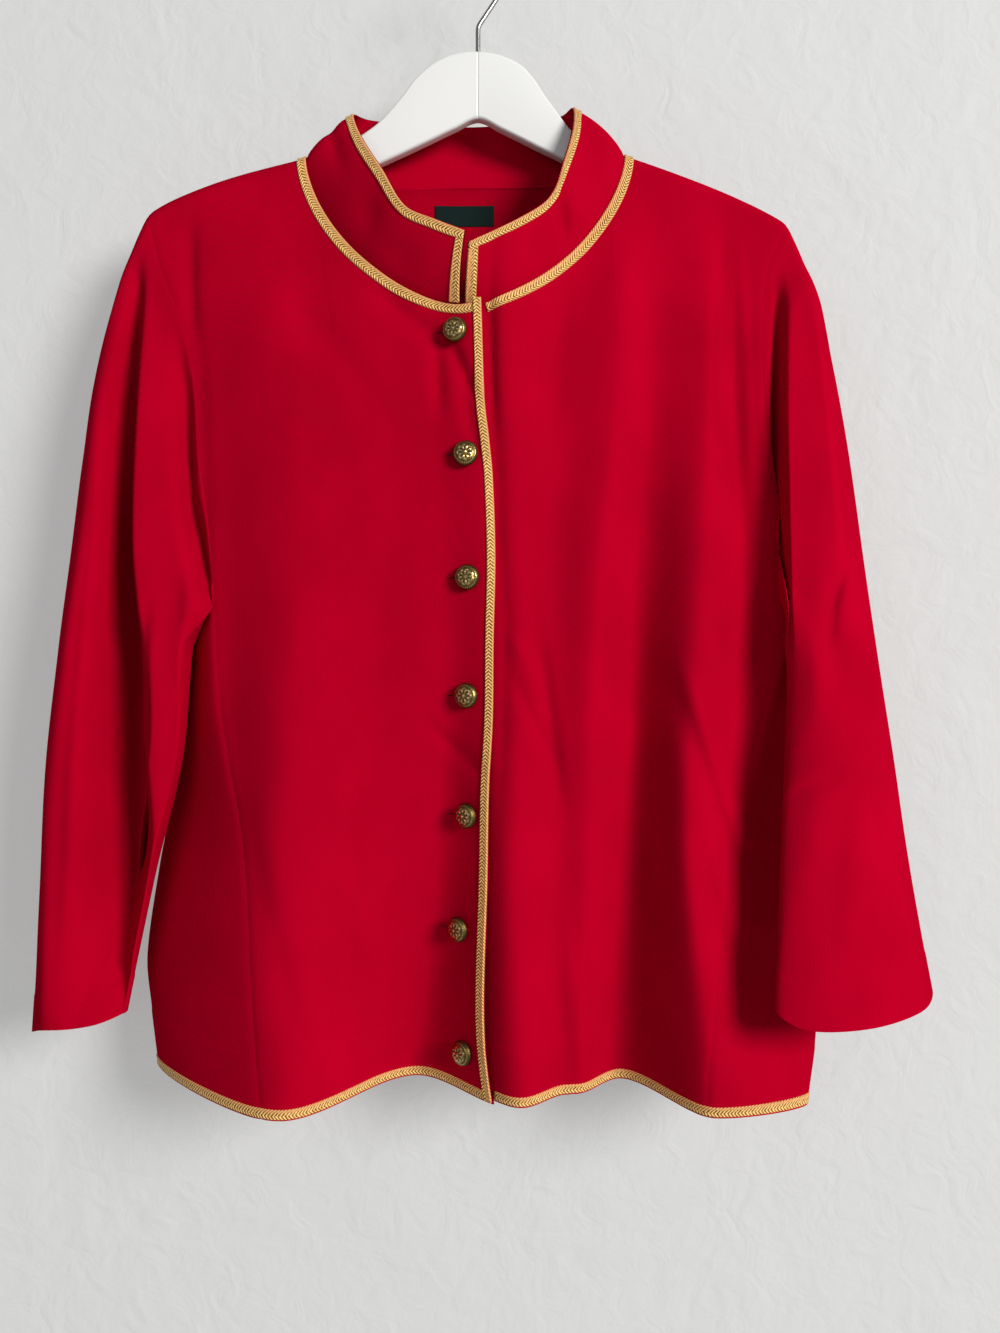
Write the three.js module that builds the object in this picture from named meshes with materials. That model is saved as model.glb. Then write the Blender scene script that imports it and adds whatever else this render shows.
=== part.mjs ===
// A band-style jacket with a stand collar, hung on a wooden hanger.
// Millimetres, +Z up, +X to the viewer's right, the jacket's front faces -Y.
// The origin is where a rod holds the hook: the highest point of the inside of its loop.
// Right and left in the names are the wearer's: the wearer's right front is on the viewer's left.
import * as THREE from "three";
import { mergeVertices } from "three/addons/utils/BufferGeometryUtils.js";

// Cloth, trim and clearances
const CLOTH = 2.0;
const SEAM_GAP = 0.4;
const PANEL_INSET = 0.45; // each panel stops this far short of its seam
const BRAID_WIDTH = 6.4;
const BRAID_THICK = 1.4;
const LAP_OFFSET = 1.7; // each front moves this far out or in where the two lap
const LAP_WIDTH = 28;
const LAP_FADE = 40;

// The jacket's frame
const SHOULDER_ROUND = 9.5; // radius of the cloth over the hanger's arm
const SHOULDER_SEAM_FORWARD = 6; // the shoulder seam lies this far in front of the ridge
const FRONT_FALL = 110; // below the shoulder line, the front reaches its full depth here
const BACK_FALL = 60;
const HEM_Z = -814;
const HEM_LIFT = 0.12; // the hem rises this much for each millimetre that a fold lies back
const HEM_RIDGE_Y = -78;
const HEM_LIFT_FROM = -700;

// Buttons
const BUTTON_RADIUS = 8.8;
const BUTTON_DOME = 5.2;
const SHANK_RADIUS = 2.2;
const SHANK_LENGTH = 2.6;

// Hanger
const WOOD_TOP_Z = -76;
const WIRE_RADIUS = 1.8;
const HOOK_INNER_RADIUS = 19;
const HOOK_BEND_Z = -56.5;

// Grid sizes
const SHOULDER_COLUMNS = 8; // the fronts and the back share these, so that their seams meet
const FRONT_NECK_COLUMNS = 12;
const FRONT_COLUMNS = FRONT_NECK_COLUMNS + SHOULDER_COLUMNS;
const BODY_ROWS = 24;
const SIDE_COLUMNS = 8;
const BACK_NECK_COLUMNS = 10;
const SLEEVE_AROUND = 26;
const SLEEVE_CAP_ROWS = 7;
const SLEEVE_SEAM = -2; // the upper sleeve's outer seam lies this many columns behind the outside
const SLEEVE_ARM_ROWS = 9;
const COLLAR_COLUMNS = 42;
const COLLAR_ROWS = 3;

const clamp01 = (t) => Math.min(1, Math.max(0, t));
const smooth = (t) => clamp01(t) ** 2 * (3 - 2 * clamp01(t));
const mix = (a, b, t) => a + (b - a) * t;
const vec = (x, y, z) => new THREE.Vector3(x, y, z);

// A smooth curve through the points (at[i], values[i]): cubic pieces with the neighbours' slopes.
function along(at, values, t) {
  const last = at.length - 1;
  const up = at[last] > at[0] ? 1 : -1;
  let i = 0;
  while (i < last - 1 && (t - at[i + 1]) * up > 0) i++;
  const slope = (k) => {
    const a = Math.max(0, k - 1);
    const b = Math.min(last, k + 1);
    return (values[b] - values[a]) / (at[b] - at[a]);
  };
  const span = at[i + 1] - at[i];
  const u = clamp01((t - at[i]) / span);
  const h = 3 * u * u - 2 * u * u * u;
  return (
    values[i] * (1 - h) +
    values[i + 1] * h +
    slope(i) * span * (u ** 3 - 2 * u * u + u) +
    slope(i + 1) * span * (u ** 3 - u * u)
  );
}
const column = (rows, key) => rows.map((row) => row[key]);
const look = (rows, key, by, t) => along(column(rows, by), column(rows, key), t);

// The ridge of each shoulder, across the jacket
const shoulderLine = [
  { x: -250, z: -207 },
  { x: -236, z: -193 },
  { x: -215, z: -181 },
  { x: -177, z: -166.7 },
  { x: -122, z: -152 },
  { x: -70, z: -137 },
  { x: -9, z: -130 },
  { x: 55, z: -136 },
  { x: 104, z: -150.5 },
  { x: 150, z: -166.7 },
  { x: 185, z: -181 },
  { x: 214, z: -195.5 },
  { x: 232, z: -208 },
];
const shoulderZ = (x) => look(shoulderLine, "z", "x", x);

// Heights at which the fold tables give each ridge and valley: hem, waist, below the arm, chest, yoke
const foldHeights = [-812, -640, -480, -340, -230];
const frontFolds = [
  { name: "side, viewer's left", x: [-196, -186, -186, -205, -215], y: [-52, -40, -34, -24, -20] },
  { name: "ridge of the side front", x: [-128, -130, -120, -120, -130], y: [-78, -63, -53, -42, -27] },
  { name: "valley beside the buttons", x: [-42, -27, -22, -30, -34], y: [-13, -37, -49, -46, -36] },
  { name: "ridge under the front edge", x: [29, 20, 14, 8, 4], y: [-62, -62, -57, -52, -44] },
  { name: "crease below the neck", x: [62, 58, 52, 62, 80], y: [-42, -50, -49, -40, -26] },
  { name: "ridge of the left front", x: [66, 72, 78, 92, 100], y: [-41, -51, -54, -44, -28] },
  { name: "deep valley", x: [100, 109, 110, 122, 128], y: [-18, -29, -33, -31, -21] },
  { name: "ridge beyond the valley", x: [160, 142, 149, 158, 164], y: [-76, -66, -58, -39, -26] },
  { name: "valley before the armhole", x: [184, 186, 192, 182, 184], y: [-78, -46, -32, -21, -17] },
  { name: "side, viewer's right", x: [206, 208, 212, 200, 204], y: [-76, -42, -34, -26, -20] },
];
const backFolds = [
  { name: "side, viewer's left", x: [-196, -190, -188, -205, -215], y: [30, 26, 24, 20, 16] },
  { name: "ridge", x: [-140, -135, -130, -125, -125], y: [47, 40, 33, 28, 22] },
  { name: "valley", x: [-78, -76, -75, -75, -75], y: [25, 28, 29, 27, 22] },
  { name: "middle ridge", x: [-15, -12, -10, -10, -10], y: [44, 39, 34, 30, 24] },
  { name: "valley", x: [50, 48, 48, 50, 55], y: [27, 29, 29, 27, 22] },
  { name: "ridge", x: [118, 115, 112, 110, 110], y: [46, 40, 34, 28, 22] },
  { name: "side, viewer's right", x: [196, 196, 200, 200, 204], y: [20, 22, 22, 19, 15] },
];

// Depth of a folded sheet: from each ridge or valley to the next it passes smoothly, level at both.
function foldDepth(folds, x, z) {
  const at = (values) => along(foldHeights, values, Math.min(z, foldHeights.at(-1)));
  let before = { x: at(folds[0].x), y: at(folds[0].y) };
  let y = before.y;
  for (const fold of folds.slice(1)) {
    const next = { x: at(fold.x), y: at(fold.y) };
    y += (next.y - before.y) * smooth((x - before.x) / (next.x - before.x));
    before = next;
  }
  return y;
}

// The cloth's way over the hanger's arm: s is the distance from the ridge, and the drop below it follows.
const QUARTER = (SHOULDER_ROUND * Math.PI) / 2;
const SEAM_WAY = SHOULDER_ROUND * Math.asin(SHOULDER_SEAM_FORWARD / SHOULDER_ROUND);
const dropOf = (s) =>
  s < QUARTER ? SHOULDER_ROUND * (1 - Math.cos(s / SHOULDER_ROUND)) : SHOULDER_ROUND + s - QUARTER;
const wayOf = (drop) =>
  drop < SHOULDER_ROUND ? SHOULDER_ROUND * Math.acos(1 - Math.max(0, drop) / SHOULDER_ROUND) : drop - SHOULDER_ROUND + QUARTER;

// A point of the body's cloth at x, s below the ridge; side is -1 on the front and 1 on the back.
function bodyPoint(x, s, side) {
  const drop = dropOf(s);
  let z = shoulderZ(x) - drop;
  const round = s < QUARTER ? SHOULDER_ROUND * Math.sin(s / SHOULDER_ROUND) : SHOULDER_ROUND;
  const deep = Math.abs(foldDepth(side < 0 ? frontFolds : backFolds, x, z)) - SHOULDER_ROUND;
  const fall = side < 0 ? FRONT_FALL : BACK_FALL;
  const y = side * (round + (s > 0 ? deep * smooth(drop / fall) : 0));
  z += HEM_LIFT * (y - HEM_RIDGE_Y) * smooth((HEM_LIFT_FROM - z) / (HEM_LIFT_FROM - HEM_Z));
  return vec(x, y, z);
}
// across is the distance from the ridge, negative on the front
const bodyAcross = (x, across) => (across < -SEAM_WAY ? bodyPoint(x, -across, -1) : bodyPoint(x, across, 1));
const bodyAt = (x, z, side) => bodyPoint(x, wayOf(shoulderZ(x) - z), side);

// The neckline: half a superellipse in front, a shallower one behind.
const NECK = { left: -122, right: 104, middle: -10, top: -152, frontDrop: 118, power: 1.6 };
const BACK_NECK_DROP = 40;
const BACK_NECK_POWER = 2.4;
function frontNeckZ(x) {
  const half = x < NECK.middle ? NECK.middle - NECK.left : NECK.right - NECK.middle;
  const across = clamp01(Math.abs(x - NECK.middle) / half);
  const open = (1 - across ** NECK.power) ** (1 / NECK.power);
  const top = shoulderZ(x < NECK.middle ? NECK.left : NECK.right) - dropOf(SEAM_WAY);
  return mix(top, NECK.top - NECK.frontDrop, open);
}
function backNeckWay(x) {
  const half = x < NECK.middle ? NECK.middle - NECK.left : NECK.right - NECK.middle;
  const across = clamp01(Math.abs(x - NECK.middle) / half);
  const open = (1 - across ** BACK_NECK_POWER) ** (1 / BACK_NECK_POWER);
  return mix(-SEAM_WAY, BACK_NECK_DROP, open);
}

// Edges of the panels: x at each height
const frontEdge = [
  { z: -814, x: 11.8 },
  { z: -795, x: 9 },
  { z: -769, x: 6.6 },
  { z: -735, x: 6.2 },
  { z: -661, x: 8.4 },
  { z: -600, x: 9.4 },
  { z: -553, x: 11.8 },
  { z: -499, x: 12.3 },
  { z: -445, x: 13.1 },
  { z: -391, x: 11.4 },
  { z: -364, x: 9 },
  { z: -337, x: 5.9 },
  { z: -270, x: 3.6 },
];
const outerEdge = {
  frontRight: [
    { z: -814, x: -140.5 },
    { z: -772, x: -146 },
    { z: -724, x: -150.5 },
    { z: -676, x: -154 },
    { z: -627, x: -160 },
    { z: -587, x: -169 },
    { z: -543, x: -177 },
    { z: -471, x: -182 },
    { z: -427, x: -186 },
    { z: -370, x: -194.5 },
    { z: -316, x: -198.5 },
    { z: -278, x: -207 },
    { z: -236, x: -224 },
    { z: -195, x: -236 },
  ],
  frontLeft: [
    { z: -814, x: 152 },
    { z: -770, x: 155 },
    { z: -724, x: 160 },
    { z: -676, x: 167 },
    { z: -627, x: 176 },
    { z: -587, x: 188 },
    { z: -543, x: 200 },
    { z: -500, x: 211 },
    { z: -464, x: 215 },
    { z: -414, x: 212 },
    { z: -378, x: 206 },
    { z: -345, x: 202 },
    { z: -300, x: 200 },
    { z: -257, x: 202 },
    { z: -231, x: 207 },
    { z: -203, x: 221 },
  ],
  backRight: [
    { z: -814, x: -166 },
    { z: -640, x: -172 },
    { z: -543, x: -174 },
    { z: -458, x: -174 },
    { z: -380, x: -187 },
    { z: -316, x: -198 },
    { z: -270, x: -210 },
    { z: -225, x: -226 },
    { z: -193, x: -236 },
  ],
  backLeft: [
    { z: -814, x: 172 },
    { z: -640, x: 186 },
    { z: -543, x: 196 },
    { z: -450, x: 203 },
    { z: -380, x: 199 },
    { z: -316, x: 197 },
    { z: -257, x: 203 },
    { z: -220, x: 213 },
    { z: -201, x: 221 },
  ],
};
const UNDERARM = { right: { front: -471, back: -458 }, left: { front: -464, back: -450 } };
// The outermost line of each side: x and y at each height, down from the underarm
const sideLine = {
  right: [
    { z: -814, x: -231, y: 8 },
    { z: -770, x: -237, y: 11 },
    { z: -728, x: -241, y: 14 },
    { z: -664, x: -234, y: 20 },
    { z: -612, x: -223, y: 23 },
    { z: -560, x: -212, y: 22 },
    { z: -520, x: -200, y: 17 },
    { z: -481, x: -182, y: 8 },
  ],
  left: [
    { z: -814, x: 222, y: -54 },
    { z: -770, x: 234, y: -32 },
    { z: -724, x: 236, y: -16 },
    { z: -640, x: 233, y: 4 },
    { z: -560, x: 228, y: 14 },
    { z: -520, x: 223, y: 13 },
    { z: -474, x: 217, y: 6 },
  ],
};

// The outward normals of a sheet of points. Its outside lies to one side of going along a row and then
// up the rows, and flip names the other side. At an end the slope is that of the curve through three points.
function slopeAt(points, i) {
  const last = points.length - 1;
  const step = (k) => points[k + 1].clone().sub(points[k]);
  if (last === 1) return step(0);
  const blend = (near, far) => {
    const [n, f] = [near.length(), far.length()];
    const turn = near.clone().divideScalar(n).sub(far.clone().divideScalar(f));
    return near.clone().divideScalar(n).addScaledVector(turn, n / (n + f));
  };
  if (i === 0) return blend(step(0), step(1));
  if (i === last) return blend(step(last - 1), step(last - 2));
  return step(i - 1).normalize().add(step(i).normalize());
}
function normals(rows, flip) {
  return rows.map((row, j) =>
    row.map((_, i) => {
      const out = slopeAt(row, i).cross(slopeAt(rows.map((r) => r[i]), j)).normalize();
      return flip ? out.negate() : out;
    }),
  );
}
function moved(rows, outs, by) {
  return rows.map((row, j) => row.map((p, i) => p.clone().addScaledVector(outs[j][i], by)));
}
// A closed wall between an outer and an inner sheet of points
function wallBetween(outer, inner) {
  const high = outer.length;
  const wide = outer[0].length;
  const positions = [...outer.flat(), ...inner.flat()].flatMap((p) => [p.x, p.y, p.z]);
  const at = (layer, j, i) => layer * high * wide + j * wide + i;
  const faces = [];
  const quad = (a, b, c, d) => faces.push(a, b, c, a, c, d);
  for (let j = 0; j < high - 1; j++)
    for (let i = 0; i < wide - 1; i++) {
      quad(at(0, j, i), at(0, j, i + 1), at(0, j + 1, i + 1), at(0, j + 1, i));
      quad(at(1, j, i), at(1, j + 1, i), at(1, j + 1, i + 1), at(1, j, i + 1));
    }
  for (let i = 0; i < wide - 1; i++) {
    quad(at(1, 0, i), at(1, 0, i + 1), at(0, 0, i + 1), at(0, 0, i));
    quad(at(0, high - 1, i), at(0, high - 1, i + 1), at(1, high - 1, i + 1), at(1, high - 1, i));
  }
  for (let j = 0; j < high - 1; j++) {
    quad(at(0, j, 0), at(0, j + 1, 0), at(1, j + 1, 0), at(1, j, 0));
    quad(at(0, j, wide - 1), at(1, j, wide - 1), at(1, j + 1, wide - 1), at(0, j + 1, wide - 1));
  }
  return facingOut(positions, faces);
}
function facingOut(positions, faces) {
  const geometry = new THREE.BufferGeometry();
  geometry.setAttribute("position", new THREE.Float32BufferAttribute(positions, 3));
  let volume = 0;
  const corner = (k) => vec(...positions.slice(3 * faces[k], 3 * faces[k] + 3));
  for (let k = 0; k < faces.length; k += 3) volume += corner(k).dot(corner(k + 1).cross(corner(k + 2)));
  if (volume < 0) for (let k = 0; k < faces.length; k += 3) [faces[k], faces[k + 1]] = [faces[k + 1], faces[k]];
  geometry.setIndex(faces);
  geometry.computeVertexNormals();
  return geometry;
}
// A wall of cloth with the sheet in its middle
function sheetWall(rows, { flip = false, thick = CLOTH } = {}) {
  const outs = normals(rows, flip);
  return wallBetween(moved(rows, outs, thick / 2), moved(rows, outs, -thick / 2));
}
// A four-sided panel in (x, z) and in (x, way): the first serves the skirt, the second the yoke.
const coons = (edges, key, u, w) =>
  mix(edges.hem(u)[key], edges.top(u)[key], w) +
  mix(edges.inner(w)[key], edges.outer(w)[key], u) -
  mix(mix(edges.hem(0)[key], edges.hem(1)[key], u), mix(edges.top(0)[key], edges.top(1)[key], u), w);
const YOKE_FROM = 0.5;
const place = (x, z) => ({ x, z, s: wayOf(shoulderZ(x) - z) });
const placeAtWay = (x, s) => ({ x, z: shoulderZ(x) - dropOf(s), s });
function panelPoint(edges, side, u, w) {
  const x = coons(edges, "x", u, w);
  const low = wayOf(shoulderZ(x) - coons(edges, "z", u, w));
  const high = coons(edges, "s", u, w);
  return bodyPoint(x, mix(low, high, smooth((w - YOKE_FROM) / (1 - YOKE_FROM))), side);
}

// The two fronts lap: over is 1 for the one that lies on top and -1 for the one beneath.
const edgeX = (z) => look(frontEdge, "x", "z", z);
function lapShift(p, over) {
  const inLap = smooth((p.x - (edgeX(p.z) - LAP_WIDTH - LAP_FADE)) / LAP_FADE);
  const pastLap = smooth((edgeX(p.z) + LAP_FADE - p.x) / LAP_FADE);
  p.y -= over * LAP_OFFSET * Math.min(inLap, pastLap);
  return p;
}
function frontEdges(over) {
  const rows = over > 0 ? outerEdge.frontRight : outerEdge.frontLeft;
  const sign = over > 0 ? -1 : 1;
  const inset = PANEL_INSET;
  const innerX = (z) => edgeX(z) - (over > 0 ? 0 : LAP_WIDTH);
  const outerX = (z) => look(rows, "x", "z", z) - sign * inset;
  const neckX = over > 0 ? NECK.left : NECK.right;
  const cornerX = innerX(frontNeckZ(innerX(-270)));
  const tipZ = rows.at(-1).z;
  // The top edge: along the neckline, evenly by angle, and then along the shoulder seam
  const neckShare = FRONT_NECK_COLUMNS / FRONT_COLUMNS;
  const top = (u) => {
    if (u < neckShare) {
      const turn = Math.sin((u / neckShare) * (Math.PI / 2));
      const x = mix(cornerX, neckX, turn);
      return place(x, frontNeckZ(x) - inset);
    }
    return placeAtWay(mix(neckX, outerX(tipZ), (u - neckShare) / (1 - neckShare)), SEAM_WAY + inset);
  };
  const hem = (u) => place(mix(innerX(HEM_Z), outerX(HEM_Z), u), HEM_Z);
  const inner = (w) => {
    const z = mix(HEM_Z, top(0).z, w);
    return place(innerX(z), z);
  };
  const outer = (w) => {
    const z = mix(HEM_Z, top(1).z, w);
    return place(outerX(z), z);
  };
  return { hem, top, inner, outer };
}
const SHOULDER_ROWS = [0.955, 0.975, 0.988, 1];
const bodyRows = () => [...steps(BODY_ROWS - 4).map((w) => w * 0.93), ...SHOULDER_ROWS];
const steps = (n) => Array.from({ length: n + 1 }, (_, i) => i / n);
const grid = (columns, rows, point) => rows.map((w) => columns.map((u) => point(u, w)));
function frontPanel(over) {
  const edges = frontEdges(over);
  const rows = grid(steps(FRONT_COLUMNS), bodyRows(), (u, w) => lapShift(panelPoint(edges, -1, u, w), over));
  return sheetWall(rows, { flip: over > 0 });
}

// The back: one panel from side to side, over the shoulders to the seams and down to the neckline
function backEdges() {
  const inset = PANEL_INSET;
  const leftX = (z) => look(outerEdge.backRight, "x", "z", z) + inset;
  const rightX = (z) => look(outerEdge.backLeft, "x", "z", z) - inset;
  const tipWay = -SEAM_WAY + inset;
  const tip = [leftX(outerEdge.backRight.at(-1).z), rightX(outerEdge.backLeft.at(-1).z)];
  const shoulderShare = SHOULDER_COLUMNS / (2 * SHOULDER_COLUMNS + BACK_NECK_COLUMNS);
  const top = (u) => {
    if (u < shoulderShare) return placeAtWay(mix(tip[0], NECK.left, u / shoulderShare), tipWay);
    if (u > 1 - shoulderShare) return placeAtWay(mix(tip[1], NECK.right, (1 - u) / shoulderShare), tipWay);
    const turn = ((u - shoulderShare) / (1 - 2 * shoulderShare)) * Math.PI;
    const half = turn < Math.PI / 2 ? NECK.middle - NECK.left : NECK.right - NECK.middle;
    const x = NECK.middle - half * Math.cos(turn);
    return placeAtWay(x, backNeckWay(x) + inset);
  };
  const hem = (u) => place(mix(leftX(HEM_Z), rightX(HEM_Z), u), HEM_Z);
  // Up each side the way shrinks to the seam's, past the ridge
  const climb = (xOf, w) => {
    const from = place(xOf(HEM_Z), HEM_Z);
    const s = mix(from.s, tipWay, w);
    let x = from.x;
    for (let k = 0; k < 6; k++) x = xOf(shoulderZ(x) - dropOf(Math.abs(s)));
    return placeAtWay(x, s);
  };
  return { hem, top, inner: (w) => climb(leftX, w), outer: (w) => climb(rightX, w) };
}
function backPanel() {
  const edges = backEdges();
  const columns = 2 * SHOULDER_COLUMNS + BACK_NECK_COLUMNS;
  return sheetWall(grid(steps(columns), bodyRows(), (u, w) => panelPoint(edges, 1, u, w)));
}

const SIDE_ROUNDNESS = { right: 0.55, left: 0.55 };
// A side panel: from the front's seam out to the side line and round to the back's seam
function sidePoint(side, q, w) {
  const right = side === "right";
  const sign = right ? -1 : 1;
  const inset = PANEL_INSET;
  const under = UNDERARM[side];
  const line = sideLine[side];
  const seamX = (rows, z) => look(rows, "x", "z", z) + sign * inset;
  const z = (share) => mix(HEM_Z, share, w) - (w > 0 ? inset * w : 0);
  const zf = z(under.front);
  const ze = z(line.at(-1).z);
  const zb = z(under.back);
  const front = bodyAt(seamX(right ? outerEdge.frontRight : outerEdge.frontLeft, zf), zf, -1);
  const back = bodyAt(seamX(right ? outerEdge.backRight : outerEdge.backLeft, zb), zb, 1);
  const edge = vec(look(line, "x", "z", ze), look(line, "y", "z", ze), ze);
  edge.z += HEM_LIFT * (edge.y - HEM_RIDGE_Y) * smooth((HEM_LIFT_FROM - edge.z) / (HEM_LIFT_FROM - HEM_Z));
  const frontSlope = bodyAt(front.x + sign, zf, -1).y - front.y;
  const backSlope = bodyAt(back.x + sign, zb, 1).y - back.y;
  const half = q < 0.5;
  const [a, b] = half ? [front, edge] : [edge, back];
  const u = half ? 2 * q : 2 * q - 1;
  const span = a.distanceTo(b);
  const turn = vec(0, SIDE_ROUNDNESS[side] * span, 0);
  const ta = half ? vec(sign, frontSlope, 0).multiplyScalar(SIDE_ROUNDNESS[side] * span) : turn;
  const tb = half ? turn : vec(-sign, -backSlope, 0).multiplyScalar(span);
  const h = 3 * u * u - 2 * u ** 3;
  return a
    .clone()
    .multiplyScalar(1 - h)
    .addScaledVector(b, h)
    .addScaledVector(ta, u ** 3 - 2 * u * u + u)
    .addScaledVector(tb, u ** 3 - u * u);
}
function sidePanel(side) {
  const rows = grid(steps(SIDE_COLUMNS), steps(BODY_ROWS), (q, w) => sidePoint(side, q, w));
  return sheetWall(rows, { flip: side === "right" });
}

// Sleeves: lines down the arm, x and y at each height below the cap; dip lowers or lifts the cuff there
const sleeves = {
  right: {
    heights: [-505, -580, -670, -766],
    lines: [
      { name: "outside", dip: -9, x: [-297, -304, -308, -314], y: [-6, -8, -10, -14] },
      { name: "outer ridge", dip: 0, x: [-280, -288, -294, -298], y: [-38, -40, -42, -42] },
      { name: "valley", dip: 2, x: [-243, -240, -252, -276], y: [-3, -8, -32, -48] },
      { name: "inner ridge", dip: 4, x: [-217, -221, -240, -258], y: [-50, -46, -40, -44] },
      { name: "inside", dip: 8, x: [-200, -205, -226, -246], y: [-30, -30, -26, -24] },
      { name: "back, inside", dip: 6, x: [-212, -222, -240, -258], y: [4, 0, -2, -4] },
      { name: "back", dip: 0, x: [-242, -256, -272, -282], y: [28, 20, 14, 8] },
      { name: "back, outside", dip: -6, x: [-282, -290, -298, -304], y: [20, 16, 12, 6] },
    ],
  },
  left: {
    heights: [-505, -580, -660, -738],
    lines: [
      { name: "outside", dip: 2, x: [277, 286, 296, 309], y: [-28, -36, -42, -46] },
      { name: "outer ridge", dip: -4, x: [260, 270, 280, 292], y: [-60, -66, -72, -78] },
      { name: "front", dip: -9, x: [239, 243, 248, 252], y: [-66, -80, -90, -100] },
      { name: "inner ridge", dip: -9, x: [224, 218, 213, 210], y: [-70, -82, -92, -104] },
      { name: "inside", dip: 2, x: [212, 205, 199, 193], y: [-54, -68, -80, -94] },
      { name: "back, inside", dip: 4, x: [238, 236, 232, 224], y: [-22, -40, -56, -76] },
      { name: "back", dip: 4, x: [248, 254, 258, 262], y: [6, -16, -32, -50] },
      { name: "back, outside", dip: 4, x: [268, 276, 286, 298], y: [2, -14, -26, -38] },
    ],
  },
};
// A point of the closed curve through the sleeve's lines at one height; q goes once round from the outside
function sleeveRing(side, q, z) {
  const { lines, heights } = sleeves[side];
  const at = lines.map(({ x, y, dip }) => ({ x: along(heights, x, z), y: along(heights, y, z), dip }));
  const n = at.length;
  const i = Math.floor(q * n) % n;
  const u = q * n - Math.floor(q * n);
  const spline = (key) => {
    const [a, b, c, d] = [-1, 0, 1, 2].map((k) => at[(i + k + n) % n][key]);
    return 0.5 * (2 * b + (c - a) * u + (2 * a - 5 * b + 4 * c - d) * u * u + (3 * b - a - 3 * c + d) * u ** 3);
  };
  const lower = smooth((heights[0] - z) / (heights[0] - heights.at(-1)));
  return vec(spline("x"), spline("y"), z + spline("dip") * lower);
}
// The armhole's edge: down the front's, along the side panel's top, and up the back's
const ARMHOLE_FRONT = 0.42;
const ARMHOLE_BACK = 0.58;
function armholePoint(side, q) {
  const right = side === "right";
  const frontRows = right ? outerEdge.frontRight : outerEdge.frontLeft;
  const backRows = right ? outerEdge.backRight : outerEdge.backLeft;
  const under = UNDERARM[side];
  if (q < ARMHOLE_FRONT) {
    const tip = placeAtWay(frontRows.at(-1).x, SEAM_WAY);
    const z = mix(tip.z, under.front, q / ARMHOLE_FRONT);
    const x = z > frontRows.at(-1).z ? frontRows.at(-1).x : look(frontRows, "x", "z", z);
    return bodyAt(x, z, -1);
  }
  if (q > ARMHOLE_BACK) {
    const tipWay = -SEAM_WAY;
    const low = wayOf(shoulderZ(look(backRows, "x", "z", under.back)) - under.back);
    const s = mix(tipWay, low, (1 - q) / (1 - ARMHOLE_BACK));
    let x = backRows.at(-1).x;
    for (let k = 0; k < 6; k++) x = look(backRows, "x", "z", shoulderZ(x) - dropOf(Math.abs(s)));
    return bodyPoint(x, s, 1);
  }
  return sidePoint(side, (q - ARMHOLE_FRONT) / (ARMHOLE_BACK - ARMHOLE_FRONT), 1);
}
const UNDERARM_CLEAR = 4.6;
const RING_TURN = 0.055; // the underarm seam runs down this share of the way round before the inside
const UNDERARM_PUSH = { right: 0.35, left: 0.8 };
function sleevePoint(side, q, v) {
  const sign = side === "right" ? -1 : 1;
  const low = (1 - Math.cos(2 * Math.PI * q)) / 2; // 0 at the shoulder, 1 at the underarm
  const turned = (q + RING_TURN * low + 1) % 1;
  const capShare = SLEEVE_CAP_ROWS / (SLEEVE_CAP_ROWS + SLEEVE_ARM_ROWS);
  const { heights } = sleeves[side];
  if (v >= capShare) return sleeveRing(side, turned, mix(heights[0], heights.at(-1), (v - capShare) / (1 - capShare)));
  const from = armholePoint(side, q);
  from.x += sign * mix(0.7, UNDERARM_CLEAR, smooth((low - 0.55) / 0.45));
  const to = sleeveRing(side, turned, heights[0]);
  const below = sleeveRing(side, turned, heights[0] - 5);
  const span = from.distanceTo(to);
  const outward = mix(0.42, 0.2, smooth(2 * low)) + UNDERARM_PUSH[side] * smooth((low - 0.7) / 0.3);
  const start = vec(sign * outward, 0, -mix(0.8, 1, low)).multiplyScalar(span * 0.9);
  const end = below.sub(to).normalize().multiplyScalar(span);
  const u = v / capShare;
  const h = 3 * u * u - 2 * u ** 3;
  return from
    .multiplyScalar(1 - h)
    .addScaledVector(to, h)
    .addScaledVector(start, u ** 3 - 2 * u * u + u)
    .addScaledVector(end, u ** 3 - u * u);
}
const SLEEVE_GAP = 0.0006;
function sleevePart(side, from, to) {
  const around = steps(to - from).map((t) => mix(from, to, t) / SLEEVE_AROUND + (0.5 - t) * 2 * SLEEVE_GAP);
  const ring = (q, v) => sleevePoint(side, (q + 1) % 1, v);
  const down = steps(SLEEVE_CAP_ROWS + SLEEVE_ARM_ROWS);
  const rows = grid(around, down, ring);
  const outs = grid(around, down, (q, v) => {
    const ahead = ring(q + 0.01, v).sub(ring(q - 0.01, v));
    const below = ring(q, Math.min(1, v + 0.01)).sub(ring(q, Math.max(0, v - 0.01)));
    const out = ahead.cross(below).normalize();
    return side === "left" ? out.negate() : out;
  });
  return wallBetween(moved(rows, outs, CLOTH / 2), moved(rows, outs, -CLOTH / 2));
}

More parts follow.
